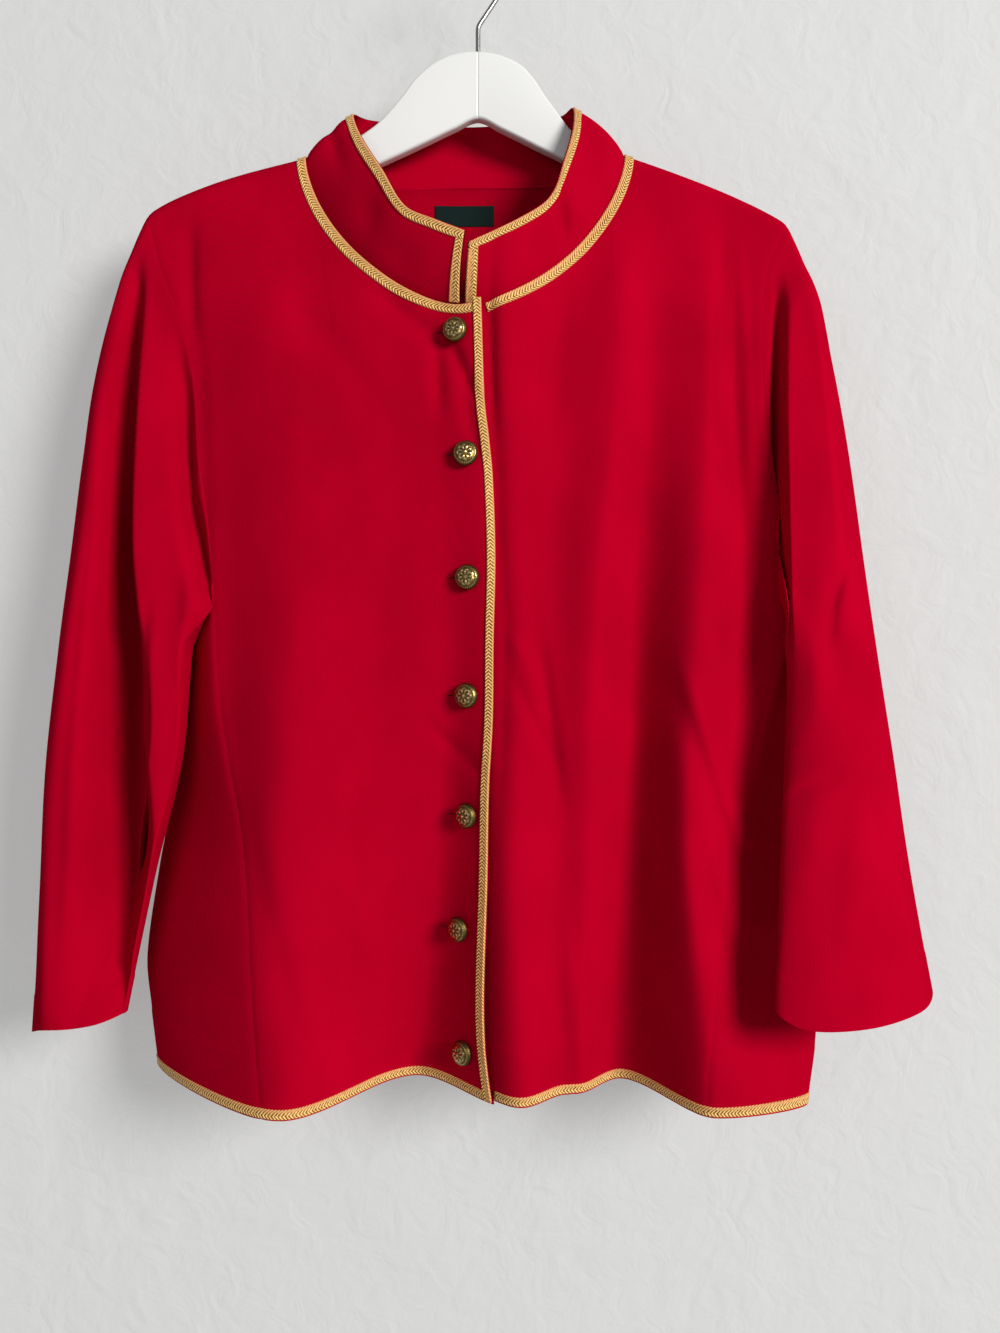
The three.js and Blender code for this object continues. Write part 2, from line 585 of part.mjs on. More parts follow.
// The collar's top edge: x, y and z at each share of the way round the neckline, from the wearer's right
const collarTop = [
  { at: 0.0, x: -9, y: -59, z: -224.7 },
  { at: 0.05, x: -28, y: -55, z: -215.6 },
  { at: 0.1, x: -48, y: -49, z: -204.5 },
  { at: 0.17, x: -64, y: -38, z: -176 },
  { at: 0.235, x: -79.5, y: -24, z: -148.5 },
  { at: 0.3, x: -88, y: -6, z: -124 },
  { at: 0.345, x: -80, y: 12, z: -118 },
  { at: 0.42, x: -47, y: 20, z: -118.5 },
  { at: 0.5, x: -6, y: 23, z: -118.6 },
  { at: 0.58, x: 38, y: 20, z: -117 },
  { at: 0.655, x: 60, y: 12, z: -115.5 },
  { at: 0.7, x: 67, y: -6, z: -119 },
  { at: 0.76, x: 66.5, y: -20, z: -139 },
  { at: 0.82, x: 60, y: -31, z: -165 },
  { at: 0.89, x: 49, y: -42, z: -196 },
  { at: 0.94, x: 28, y: -50, z: -213.5 },
  { at: 1.0, x: -4.5, y: -57, z: -231.5 },
];
const COLLAR_END = { right: -14, left: -6 }; // x where each end of the collar meets the neckline
const NECK_STATIONS = 240;
// The neckline as x and the distance across the shoulder, from one x on the right front round to the left
function neckPath(rightX, leftX) {
  const frontWay = (x) => ({ x, across: -wayOf(shoulderZ(x) - frontNeckZ(x)) });
  const arc = (from, to) => steps(60).map((t) => frontWay(mix(from, to, Math.sin((t * Math.PI) / 2))));
  const behind = steps(80)
    .slice(1, -1)
    .map((t) => {
      const half = t < 0.5 ? NECK.middle - NECK.left : NECK.right - NECK.middle;
      const x = NECK.middle - half * Math.cos(t * Math.PI);
      return { x, across: backNeckWay(x) };
    });
  return [...arc(rightX, NECK.left), ...behind, ...arc(leftX, NECK.right).reverse()];
}
// Evenly spaced points of a path of x and across, moved away from the neck by a distance in the cloth
function pathPoints(path, count, away = 0) {
  const curve = new THREE.CatmullRomCurve3(path.map((p) => vec(p.x, p.across, 0)), false, "chordal");
  curve.arcLengthDivisions = 2000;
  return steps(count).map((t) => {
    const p = curve.getPointAt(t);
    const ahead = curve.getTangentAt(t);
    const x = p.x - ahead.y * away;
    return { x, across: p.y + ahead.x * away, over: t < 0.5 ? 1 : -1 };
  });
}
const onFront = ({ x, across, over }) => {
  const p = bodyAcross(x, across);
  return across < -SEAM_WAY ? lapShift(p, over) : p;
};
const neckLoop = pathPoints(neckPath(COLLAR_END.right, COLLAR_END.left), NECK_STATIONS).map(onFront);
function neckAt(t) {
  const k = clamp01(t) * NECK_STATIONS;
  const i = Math.min(NECK_STATIONS - 1, Math.floor(k));
  return neckLoop[i].clone().lerp(neckLoop[i + 1], k - i);
}
const COLLAR_THICK = 2.4;
const COLLAR_BELLY = 3.5; // the stand bows out this far at mid height
function collarPoint(t, h) {
  const foot = neckAt(t);
  const head = vec(look(collarTop, "x", "at", t), look(collarTop, "y", "at", t), look(collarTop, "z", "at", t));
  const rise = head.clone().sub(foot);
  const lift = 0.8 + 1 * Math.sin(2 * Math.PI * t) ** 2; // clear of the panel where the two meet at an angle
  foot.addScaledVector(rise, lift / rise.length());
  const ahead = neckAt(Math.min(1, t + 0.01)).sub(neckAt(Math.max(0, t - 0.01)));
  const out = ahead.cross(rise).normalize();
  return foot.lerp(head, h).addScaledVector(out, -COLLAR_BELLY * 4 * h * (1 - h));
}
const collarStand = () =>
  sheetWall(grid(steps(COLLAR_COLUMNS), steps(COLLAR_ROWS), collarPoint), { thick: COLLAR_THICK, flip: true });

// Everything that lies on the cloth is set down on the panels' own faces.
const SEARCH = 12;
function seated(point, out, on) {
  const ray = new THREE.Raycaster(point.clone().addScaledVector(out, SEARCH), out.clone().negate(), 0, 2 * SEARCH);
  const hit = ray.intersectObjects(on)[0];
  const onFace = hit && Math.abs(hit.distance - (SEARCH - CLOTH / 2)) < 1; // a ray into a seam's gap is not
  return onFace ? hit.point : point.clone().addScaledVector(out, CLOTH / 2);
}
// A flat strip on the cloth: rows of points near it, set down and moved out
function strip(rows, on, { flip = false, thick = BRAID_THICK, gap = STRIP_GAP } = {}) {
  const outs = normals(rows, flip);
  const seats = rows.map((row, j) => row.map((p, i) => seated(p, outs[j][i], on)));
  return wallBetween(moved(seats, outs, gap + thick), moved(seats, outs, gap));
}
const STRIP_GAP = 0.4;
const EDGE_INSET = 0.9; // the cloth shows this much beyond a braid
const FRONT_BRAID_WIDTH = 5.4;

// Round the neckline, from beside the front braid to the left front
function neckBraid(on) {
  const path = neckPath(edgeX(-270) - FRONT_BRAID_WIDTH - EDGE_INSET - 0.9, edgeX(-270) + EDGE_INSET + 0.9);
  const widths = [EDGE_INSET + BRAID_WIDTH, EDGE_INSET + BRAID_WIDTH / 2, EDGE_INSET];
  const fine = widths.map((away) => pathPoints(path, 400, away).map(onFront));
  const picked = turningStations(fine[1]);
  return strip(fine.map((row) => picked.map((k) => row[k])), on, { flip: true, gap: 1.1 });
}
// The stations of a line of points at which it has gone far enough or turned enough since the last one
function turningStations(points, furthest = 11, mostTurn = 0.17) {
  const picked = [0];
  let heading = points[1].clone().sub(points[0]).normalize();
  for (let k = 1; k < points.length - 1; k++) {
    const way = points[k + 1].clone().sub(points[k]).normalize();
    if (points[k].distanceTo(points[picked.at(-1)]) < furthest && way.angleTo(heading) < mostTurn) continue;
    picked.push(k);
    heading = way;
  }
  return [...picked, points.length - 1];
}
// Down the front edge, from the neckline to the hem
function frontBraid(on) {
  const top = frontNeckZ(0) - EDGE_INSET;
  const rows = steps(40).map((w) => {
    const z = mix(HEM_Z + EDGE_INSET, top, w);
    return [FRONT_BRAID_WIDTH, 0].map((across) => lapShift(bodyAt(edgeX(z) - EDGE_INSET - across, z, -1), 1));
  });
  return strip(rows, on, { flip: false });
}
// Round the hem, from beside the front braid over the back to the left front
function hemBraid(on) {
  const heights = [EDGE_INSET, EDGE_INSET + BRAID_WIDTH];
  const seam = (rows) => look(rows, "x", "z", HEM_Z);
  const across = (from, to, n, side, over) =>
    heights.map((up) =>
      steps(n).map((u) => {
        const p = bodyAt(mix(from, to, u), HEM_Z + up, side);
        return side < 0 ? lapShift(p, over) : p;
      }),
    );
  const round = (side, flip) =>
    heights.map((up) =>
      steps(2 * SIDE_COLUMNS).map((q) => sidePoint(side, flip ? 1 - q : q, up / (UNDERARM[side].front - HEM_Z))),
    );
  const start = edgeX(HEM_Z) - FRONT_BRAID_WIDTH - EDGE_INSET - 1.1;
  const last = edgeX(HEM_Z) + EDGE_INSET + 0.9;
  const rightFront = across(seam(outerEdge.frontRight) + PANEL_INSET, edgeX(HEM_Z), FRONT_COLUMNS, -1, 1).map((row) => row.filter((p) => p.x < start - 1));
  rightFront.forEach((row, j) => row.reverse().unshift(lapShift(bodyAt(start, HEM_Z + heights[j], -1), 1)));
  const leftFront = across(edgeX(HEM_Z) - LAP_WIDTH, seam(outerEdge.frontLeft) - PANEL_INSET, FRONT_COLUMNS, -1, -1).map((row) => row.filter((p) => p.x > last + 1).reverse());
  leftFront.forEach((row, j) => row.push(lapShift(bodyAt(last, HEM_Z + heights[j], -1), -1)));
  const backColumns = 2 * SHOULDER_COLUMNS + BACK_NECK_COLUMNS;
  const parts = [
    rightFront,
    round("right", false),
    across(seam(outerEdge.backRight) + PANEL_INSET, seam(outerEdge.backLeft) - PANEL_INSET, backColumns, 1, 0),
    round("left", true),
    leftFront,
  ];
  const rows = heights.map((_, j) => parts.flatMap((part) => part[j]));
  return strip(rows, on, { flip: true, gap: 0.85 });
}
// Along the collar's top and down its two ends
const COLLAR_BRAID_SHARE = 0.0115; // of the way round, for the braid at each end
const alongCollar = (from, to, n, low, high) => [low, high].map((h) => steps(n).map((t) => collarPoint(mix(from, to, t), h)));
const COLLAR_BRAID_FROM = 0.86;
const collarTopBraid = (on) => strip(alongCollar(0.002, 0.998, COLLAR_COLUMNS, COLLAR_BRAID_FROM, 0.98), on, { flip: true, gap: 1.5 });
function collarEndBraid(on, end) {
  const range = end > 0 ? [0.002, COLLAR_BRAID_SHARE] : [1 - COLLAR_BRAID_SHARE, 0.998];
  const rows = steps(6).map((h) => range.map((t) => collarPoint(t, mix(0.1, COLLAR_BRAID_FROM - 0.012, h))));
  return strip(rows, on, { flip: true });
}

// Buttons: x and z of each one's middle
const buttons = [
  { x: -13.7, z: -289 },
  { x: -7, z: -374 },
  { x: -5.2, z: -457 },
  { x: -5.2, z: -536.5 },
  { x: -4.8, z: -617.5 },
  { x: -10.4, z: -696 },
  { x: -7.2, z: -785 },
];
const buttonProfile = [
  { r: 0, h: 0 },
  { r: SHANK_RADIUS, h: 0 },
  { r: SHANK_RADIUS, h: SHANK_LENGTH },
  { r: BUTTON_RADIUS - 0.8, h: SHANK_LENGTH },
  { r: BUTTON_RADIUS, h: SHANK_LENGTH + 0.7 },
  { r: BUTTON_RADIUS - 0.6, h: SHANK_LENGTH + 0.28 * BUTTON_DOME },
  { r: 0.72 * BUTTON_RADIUS, h: SHANK_LENGTH + 0.7 * BUTTON_DOME },
  { r: 0.4 * BUTTON_RADIUS, h: SHANK_LENGTH + 0.92 * BUTTON_DOME },
  { r: 0, h: SHANK_LENGTH + BUTTON_DOME },
];
function frontNormal(x, z) {
  const p = bodyAt(x, z, -1);
  const right = bodyAt(x + 4, z, -1).sub(p);
  const up = bodyAt(x, z + 4, -1).sub(p);
  return right.cross(up).normalize();
}
function button({ x, z }, on) {
  const out = frontNormal(x, z);
  const seat = seated(lapShift(bodyAt(x, z, -1), 1), out, on).addScaledVector(out, SEAM_GAP + 0.4);
  const profile = buttonProfile.map((p) => new THREE.Vector2(p.r, p.h));
  const geometry = mergeVertices(new THREE.LatheGeometry(profile, 12).deleteAttribute("uv").deleteAttribute("normal"), 1e-4);
  const turn = new THREE.Quaternion().setFromUnitVectors(vec(0, 1, 0), out);
  geometry.applyQuaternion(turn).translate(seat.x, seat.y, seat.z);
  return facingOut(Array.from(geometry.attributes.position.array), withoutSlivers(geometry));
}
// The faces that have three different corners
function withoutSlivers(geometry) {
  const index = Array.from(geometry.index.array);
  const kept = [];
  for (let k = 0; k < index.length; k += 3) {
    const [a, b, c] = index.slice(k, k + 3);
    if (a !== b && b !== c && c !== a) kept.push(a, b, c);
  }
  return kept;
}

// The label inside the back neck
const LABEL = { x: -10.5, z: -184.5, width: 44, height: 15, thick: 0.6 };
function label(on) {
  const rows = steps(2).map((v) =>
    steps(6).map((u) => bodyAt(LABEL.x + (u - 0.5) * LABEL.width, LABEL.z + (v - 0.5) * LABEL.height, 1)),
  );
  return strip(rows, on, { flip: false, thick: LABEL.thick });
}

// The hanger: its top and lower edges at each distance from the hook
const hangerSections = [
  { x: -215, top: -190, low: -200, half: 3 },
  { x: -211, top: -187, low: -205, half: 5 },
  { x: -200, top: -181, low: -206.5, half: 5.4 },
  { x: -165, top: -168.6, low: -196, half: 5.4 },
  { x: -127, top: -159.6, low: -183.5, half: 5.4 },
  { x: -106, top: -151.6, low: -173.5, half: 5.4 },
  { x: -88, top: -139, low: -165, half: 5.4 },
  { x: -70.5, top: -126.3, low: -156.8, half: 5.4 },
  { x: -54, top: -107.7, low: -149.2, half: 5.4 },
  { x: -45, top: -95.6, low: -145, half: 5.4 },
  { x: -32, top: -84.3, low: -138.8, half: 5.4 },
  { x: -17, top: -77.7, low: -131.6, half: 5.4 },
  { x: 0, top: -76, low: -124.4, half: 5.4 },
  { x: 16.5, top: -78.8, low: -131.8, half: 5.4 },
  { x: 31.5, top: -86.3, low: -139.2, half: 5.4 },
  { x: 41, top: -97, low: -144, half: 5.4 },
  { x: 48, top: -107.7, low: -147.4, half: 5.4 },
  { x: 57.5, top: -120.6, low: -152, half: 5.4 },
  { x: 66, top: -131.5, low: -156.4, half: 5.4 },
  { x: 84, top: -148, low: -165, half: 5.4 },
  { x: 104, top: -161.4, low: -174.5, half: 5.4 },
  { x: 127, top: -166.4, low: -184.5, half: 5.4 },
  { x: 165, top: -177.6, low: -200, half: 5.4 },
  { x: 193, top: -189.6, low: -210, half: 5.4 },
  { x: 204, top: -194.5, low: -211, half: 5 },
  { x: 209, top: -199, low: -207.5, half: 3 },
];
const EDGE_ROUND = 3.4;
function hanger() {
  const rows = hangerSections.map(({ x, top, low, half }) => {
    const r = Math.min(EDGE_ROUND, 0.8 * half);
    const corners = [
      [half, top - r], [half - 0.3 * r, top - 0.3 * r], [half - r, top], [r - half, top], [0.3 * r - half, top - 0.3 * r],
      [-half, top - r], [-half, low + r], [0.3 * r - half, low + 0.3 * r], [r - half, low], [half - r, low],
      [half - 0.3 * r, low + 0.3 * r], [half, low + r],
    ];
    return corners.map(([y, z]) => vec(x, y, z));
  });
  return closedLoft(rows);
}
// A solid through rings of points, with its two ends capped
function closedLoft(rows) {
  const n = rows[0].length;
  const positions = rows.flat().flatMap((p) => [p.x, p.y, p.z]);
  const faces = [];
  for (let j = 0; j < rows.length - 1; j++)
    for (let i = 0; i < n; i++) {
      const [a, b] = [j * n + i, j * n + ((i + 1) % n)];
      faces.push(a, b, b + n, a, b + n, a + n);
    }
  const last = (rows.length - 1) * n;
  for (let i = 1; i < n - 1; i++) faces.push(0, i + 1, i, last, last + i, last + i + 1);
  return facingOut(positions, faces);
}

// The hook: a straight stem, a slanting length that meets the loop, and the loop to its plain end
const HOOK_LOOP_RADIUS = HOOK_INNER_RADIUS + WIRE_RADIUS;
const HOOK_END_ANGLE = 205;
function hook() {
  const middle = vec(0, 0, -HOOK_INNER_RADIUS);
  const slant = Math.asin(HOOK_LOOP_RADIUS / (-HOOK_INNER_RADIUS - HOOK_BEND_Z));
  const onLoop = (a) => vec(Math.cos(a), 0, Math.sin(a)).multiplyScalar(HOOK_LOOP_RADIUS).add(middle);
  const meet = onLoop(-slant);
  const bend = vec(0, 0, HOOK_BEND_Z);
  const bendRound = 5;
  const way = meet.clone().sub(bend).normalize();
  const stem = [vec(0, 0, WOOD_TOP_Z + SEAM_GAP + 0.1), vec(0, 0, HOOK_BEND_Z - bendRound)];
  const sloping = [bend.clone().addScaledVector(way, bendRound), meet.clone().addScaledVector(way, -6)];
  const loop = steps(16).map((t) => onLoop(mix(-slant, (HOOK_END_ANGLE * Math.PI) / 180, t)));
  const curve = new THREE.CatmullRomCurve3([...stem, bend.clone().addScaledVector(way, 0.6), ...sloping, ...loop], false, "centripetal");
  const ring = new THREE.Shape().absarc(0, 0, WIRE_RADIUS, 0, 2 * Math.PI);
  const tube = new THREE.ExtrudeGeometry(ring, { steps: 30, curveSegments: 4, bevelEnabled: false, extrudePath: curve });
  const geometry = mergeVertices(tube.deleteAttribute("uv").deleteAttribute("normal"), 1e-3);
  return facingOut(Array.from(geometry.attributes.position.array), withoutSlivers(geometry));
}

const model = new THREE.Group();
const finish = (color, roughness, metalness) => new THREE.MeshStandardMaterial({ color, roughness, metalness });
const cloth = () => finish(0xb00020, 0.85, 0);
const gold = () => finish(0xd0a048, 0.5, 0.2);
const brass = () => finish(0xa08438, 0.35, 0.9);
function add(name, geometry, material) {
  const mesh = new THREE.Mesh(geometry, material);
  mesh.name = name;
  mesh.updateMatrixWorld();
  model.add(mesh);
  return mesh;
}
const fronts = [add("front_right", frontPanel(1), cloth()), add("front_left", frontPanel(-1), cloth())];
const back = add("back", backPanel(), cloth());
const sides = ["right", "left"].map((side) => add("side_" + side, sidePanel(side), cloth()));
for (const side of ["right", "left"]) {
  add("sleeve_" + side + "_upper", sleevePart(side, SLEEVE_SEAM, SLEEVE_AROUND / 2), cloth());
  add("sleeve_" + side + "_under", sleevePart(side, SLEEVE_AROUND / 2, SLEEVE_AROUND + SLEEVE_SEAM), cloth());
}
const collar = add("collar_stand", collarStand(), cloth());
add("braid_neck", neckBraid([...fronts, back]), gold());
add("braid_front", frontBraid([fronts[0]]), gold());
add("braid_hem", hemBraid([...fronts, back, ...sides]), gold());
add("braid_collar_top", collarTopBraid([collar]), gold());
add("braid_collar_right", collarEndBraid([collar], 1), gold());
add("braid_collar_left", collarEndBraid([collar], -1), gold());
buttons.forEach((at, i) => add("button_" + (i + 1), button(at, [fronts[0]]), brass()));
add("label", label([back]), finish(0x12302a, 0.8, 0));
add("hanger", hanger(), finish(0xf0f0ee, 0.4, 0));
add("hook", hook(), finish(0x9a9a9c, 0.3, 1));

export default model;
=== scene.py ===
"""A military-style jacket with a stand collar, hung on a white wooden hanger.

Lengths are millimetres in the tables and metres in the meshes. +Z is up, +X is to the viewer's right and
the front faces -Y. The origin is the highest point of the inside of the hook. Right and left are the
wearer's: the right front is on the viewer's left and laps over the left one.
"""
import math

import bpy
import numpy as np
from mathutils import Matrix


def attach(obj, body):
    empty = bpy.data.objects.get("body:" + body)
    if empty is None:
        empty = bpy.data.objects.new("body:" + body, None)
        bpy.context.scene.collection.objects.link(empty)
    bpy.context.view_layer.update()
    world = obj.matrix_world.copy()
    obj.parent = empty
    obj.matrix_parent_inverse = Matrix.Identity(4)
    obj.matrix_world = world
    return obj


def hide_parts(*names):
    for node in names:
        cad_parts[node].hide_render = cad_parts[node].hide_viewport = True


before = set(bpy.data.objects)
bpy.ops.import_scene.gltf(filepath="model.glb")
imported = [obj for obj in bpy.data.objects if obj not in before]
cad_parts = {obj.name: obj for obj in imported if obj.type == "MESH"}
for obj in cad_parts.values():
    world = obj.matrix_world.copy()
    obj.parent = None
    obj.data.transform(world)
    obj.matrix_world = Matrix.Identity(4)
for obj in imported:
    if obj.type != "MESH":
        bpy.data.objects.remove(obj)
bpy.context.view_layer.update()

MM = 0.001

# Cloth and trim
CLOTH = 1.3
COLLAR_THICK = 2.4
SEAM_DIP = 0.55
SEAM_DIP_WIDTH = 2.2
HEM_TURN = 38.0
CUFF_TURN = 25.0
TURN_STEP = 0.35
TURN_STEP_WIDTH = 2.5
BRAID_WIDTH = 6.4
FRONT_BRAID_WIDTH = 5.4
BRAID_THICK = 1.3
BRAID_ACROSS = 12
BRAID_ALONG = {"neck": 440, "front": 420, "collar": 300}
CLOTH_GAP = 0.05
EDGE_INSET = 0.7
# How far the braids' ends run past the edge that they meet, and how the front one's top comes forward
BRAID_JOIN = {"right": 0.2, "neck_left": 0.6, "hem_left": 0.4, "front_top": 1.6}
FRONT_TOP = {"forward": 1.1, "reach": 11.0, "fade": 5.0}
LAP_OFFSET = 1.7
LAP_WIDTH = 28.0
LAP_FADE = 40.0
LAP_SINK = 4.2
LAP_SINK_WIDTH = 11.0

# How the body hangs
SHOULDER_ROUND = 9.5
SHOULDER_SEAM_FORWARD = 6.0
FRONT_FALL = 110.0
BACK_FALL = 60.0
HEM_Z = -814.0
HEM_LIFT = 0.12
HEM_RIDGE_Y = -78.0
HEM_LIFT_FROM = -700.0
QUARTER = SHOULDER_ROUND * math.pi / 2
SEAM_WAY = SHOULDER_ROUND * math.asin(SHOULDER_SEAM_FORWARD / SHOULDER_ROUND)


def table(names, *rows):
    """Columns by name, from rows of numbers."""
    return {name: np.array(column, float) for name, column in zip(names.split(), zip(*rows))}


SHOULDER = table("x z", (-250, -207), (-236, -193), (-215, -181), (-177, -166.7), (-122, -152), (-70, -137),
                 (-9, -130), (55, -136), (104, -150.5), (150, -166.7), (185, -181), (214, -195.5),
                 (232, -208))

# Ridges and valleys of the front and the back: x and y at the hem, the waist, below the arm, the chest
# and the yoke
FOLD_Z = np.array([-812.0, -640.0, -480.0, -340.0, -230.0])
FRONT_FOLDS = [
    ("side, viewer's left", (-196, -186, -186, -205, -215), (-52, -40, -34, -24, -20)),
    ("ridge of the side front", (-128, -130, -120, -120, -130), (-78, -63, -53, -42, -27)),
    ("valley beside the buttons", (-42, -27, -22, -30, -34), (-13, -37, -49, -46, -36)),
    ("ridge under the front edge", (29, 20, 14, 8, 4), (-62, -62, -57, -52, -44)),
    ("crease below the neck", (62, 58, 52, 62, 80), (-42, -50, -49, -40, -26)),
    ("ridge of the left front", (66, 72, 78, 92, 100), (-41, -51, -54, -44, -28)),
    ("deep valley", (100, 109, 110, 122, 128), (-18, -29, -33, -31, -21)),
    ("ridge beyond the valley", (160, 142, 149, 158, 164), (-76, -66, -58, -39, -26)),
    ("valley before the armhole", (184, 186, 192, 182, 184), (-78, -46, -32, -21, -17)),
    ("side, viewer's right", (206, 208, 212, 200, 204), (-76, -42, -34, -26, -20)),
]
BACK_FOLDS = [
    ("side, viewer's left", (-196, -190, -188, -205, -215), (30, 26, 24, 20, 16)),
    ("ridge", (-140, -135, -130, -125, -125), (47, 40, 33, 28, 22)),
    ("valley", (-78, -76, -75, -75, -75), (25, 28, 29, 27, 22)),
    ("middle ridge", (-15, -12, -10, -10, -10), (44, 39, 34, 30, 24)),
    ("valley", (50, 48, 48, 50, 55), (27, 29, 29, 27, 22)),
    ("ridge", (118, 115, 112, 110, 110), (46, 40, 34, 28, 22)),
    ("side, viewer's right", (196, 196, 200, 200, 204), (20, 22, 22, 19, 15)),
]
# Small creases in the fronts: a line from its upper to its lower end, how far it reaches to the viewer's
# left and right, and how far back its valley lies, or forward where the depth is below nothing
CREASES = table(
    "x0 z0 x1 z1 left right depth",
    (-65, -262, -22, -298, 9, 7, 2.4),
    (-17, -297, -2, -332, 6, 4, 3.2),
    (-27, -300, -25, -342, 6, 5, 2.4),
    (-8, -332, 0, -372, 6, 5, 2.0),
    (-120, -268, -64, -345, 16, 12, 1.8),
    (9, -268, 11, -345, 5, 4, 3.4),
    (12, -345, 16, -470, 4, 5, 1.6),
    (20, -470, 17, -600, 4, 6, 1.4),
    (60, -262, 52, -345, 12, 9, 1.8),
    (142, -530, 176, -628, 10, 6, -3.0),
    (136, -536, 172, -640, 10, 5, 3.0),
    (44, -506, 56, -596, 8, 4, 2.6),
    (28, -530, 48, -575, 5, 4, 2.0),
    (26, -500, 40, -526, 6, 4, -1.6),
    (172, -230, 168, -345, 7, 5, 3.4),
    (186, -235, 190, -400, 6, 5, -2.2),
    (-204, -205, -200, -280, 7, 5, 3.0),
    (-196, -290, -188, -430, 8, 6, 1.8),
    (-30, -560, 6, -590, 6, 5, 1.4),
    (-150, -640, -120, -760, 14, 10, 2.2),
    (150, -640, 172, -740, 10, 6, 2.6),
    (60, -700, 74, -800, 9, 7, -1.8),
    (-90, -690, -70, -800, 12, 9, 1.8),
    (-60, -420, -70, -600, 20, 16, 1.6),
)
# How far a crease runs past its ends and over what share of its length it fades there, and the drop below
# the shoulder by which creases and ripples are fully there
CREASE_PAST = 0.35
CREASE_FADE = 0.6
CREASE_FALL = 60.0
RIPPLE = 0.35
SLEEVE_RIPPLE = 0.4

# The neckline, and the shares of each front's and the back's top edge that it and the shoulders take
NECK = {"left": -122.0, "right": 104.0, "middle": -10.0, "top": -152.0, "drop": 118.0, "power": 1.6}
BACK_NECK_DROP = 40.0
BACK_NECK_POWER = 2.4
NECK_CORNER_Z = -270.0
NECK_STATIONS = 480
FRONT_NECK_SHARE = 0.6
BACK_SHOULDER_SHARE = 0.3
SEAM_ROUNDS = 6

# The cloth's grids: faces across or round, and faces up, and how much they crowd towards the edges
GRID = {"front": (110, 200), "back": (150, 180), "side": (64, 120), "collar": (260, 16)}
SLEEVE_ROWS = 190
CROWDING = 0.12

FRONT_EDGE = table("z x", (-814, 11.8), (-795, 9), (-769, 6.6), (-735, 6.2), (-661, 8.4), (-600, 9.4),
                   (-553, 11.8), (-499, 12.3), (-445, 13.1), (-391, 11.4), (-364, 9), (-337, 5.9),
                   (-270, 3.6))
SEAMS = {
    "front_right": table("z x", (-814, -140.5), (-772, -146), (-724, -150.5), (-676, -154), (-627, -160),
                         (-587, -169), (-543, -177), (-471, -182), (-427, -186), (-370, -194.5),
                         (-316, -198.5), (-278, -207), (-236, -224), (-195, -236)),
    "front_left": table("z x", (-814, 152), (-770, 155), (-724, 160), (-676, 167), (-627, 176), (-587, 188),
                        (-543, 200), (-500, 211), (-464, 215), (-414, 212), (-378, 206), (-345, 202),
                        (-300, 200), (-257, 202), (-231, 207), (-203, 221)),
    "back_right": table("z x", (-814, -166), (-640, -172), (-543, -174), (-458, -174), (-380, -187),
                        (-316, -198), (-270, -210), (-225, -226), (-193, -236)),
    "back_left": table("z x", (-814, 172), (-640, 186), (-543, 196), (-450, 203), (-380, 199), (-316, 197),
                       (-257, 203), (-220, 213), (-201, 221)),
}
UNDERARM = {"right": {"front": -471.0, "back": -458.0}, "left": {"front": -464.0, "back": -450.0}}
SIDE_LINE = {
    "right": table("z x y", (-814, -231, 8), (-770, -237, 11), (-728, -241, 14), (-664, -234, 20),
                   (-612, -225, 23), (-560, -219, 22), (-522, -211, 16), (-500, -207, 13), (-481, -182, 8)),
    "left": table("z x y", (-814, 222, -54), (-770, 234, -32), (-724, 236, -16), (-640, 233, 4),
                  (-560, 228, 14), (-520, 223, 13), (-474, 217, 6)),
}
SIDE_ROUNDNESS = 0.55
OUTWARD = {"right": -1.0, "left": 1.0}

# Lines down each sleeve, in their order round it: the name, how far the cuff is moved up there, and x and y
# at the heights z
SLEEVES = {
    "right": {
        "z": np.array([-505.0, -580.0, -670.0, -766.0]),
        "lines": [
            ("outside", -9, (-297, -304, -308, -314), (-6, -8, -10, -14)),
            ("outer ridge", 0, (-280, -288, -294, -298), (-38, -40, -42, -42)),
            ("valley", 2, (-243, -240, -252, -276), (-3, -8, -32, -48)),
            ("inner ridge", 4, (-217, -221, -240, -258), (-50, -46, -40, -44)),
            ("inside", 8, (-200, -205, -226, -246), (-30, -30, -26, -24)),
            ("back, inside", 6, (-212, -222, -240, -258), (4, 0, -2, -4)),
            ("back", 0, (-242, -256, -272, -282), (28, 20, 14, 8)),
            ("back, outside", -6, (-282, -290, -298, -304), (20, 16, 12, 6)),
        ],
    },
    "left": {
        "z": np.array([-505.0, -580.0, -660.0, -738.0]),
        "lines": [
            ("outside", 2, (277, 286, 296, 309), (-28, -36, -42, -46)),
            ("outer ridge", -4, (260, 270, 280, 292), (-60, -66, -72, -78)),
            ("front", -9, (239, 243, 248, 252), (-66, -80, -90, -100)),
            ("inner ridge", -9, (224, 218, 213, 210), (-70, -82, -92, -104)),
            ("inside", 2, (212, 205, 199, 193), (-54, -68, -80, -94)),
            ("back, inside", 4, (238, 236, 232, 224), (-22, -40, -56, -76)),
            ("back", 4, (248, 254, 258, 262), (6, -16, -32, -50)),
            ("back, outside", 4, (268, 276, 286, 298), (2, -14, -26, -38)),
        ],
    },
}
ARMHOLE_FRONT = 0.42
ARMHOLE_BACK = 0.58
SEAM_OVERLAP = -0.4
# The cap: its share of the sleeve's length, and how it leaves the armhole at its top and its lowest point
CAP = {"share": 0.44, "out": 0.42, "out_low": 0.2, "fall": 0.8, "fall_low": 1.0, "leave": 0.9,
       "push_from": 0.7, "look_below": 5.0}
# How far out the sleeve starts at the underarm, and the share of the round over which it does
CLEAR = {"gap": 4.6, "reach": 0.07, "fade": 0.05}
RING_TURN = 0.055
UNDERARM_PUSH = {"right": 0.35, "left": 0.8}
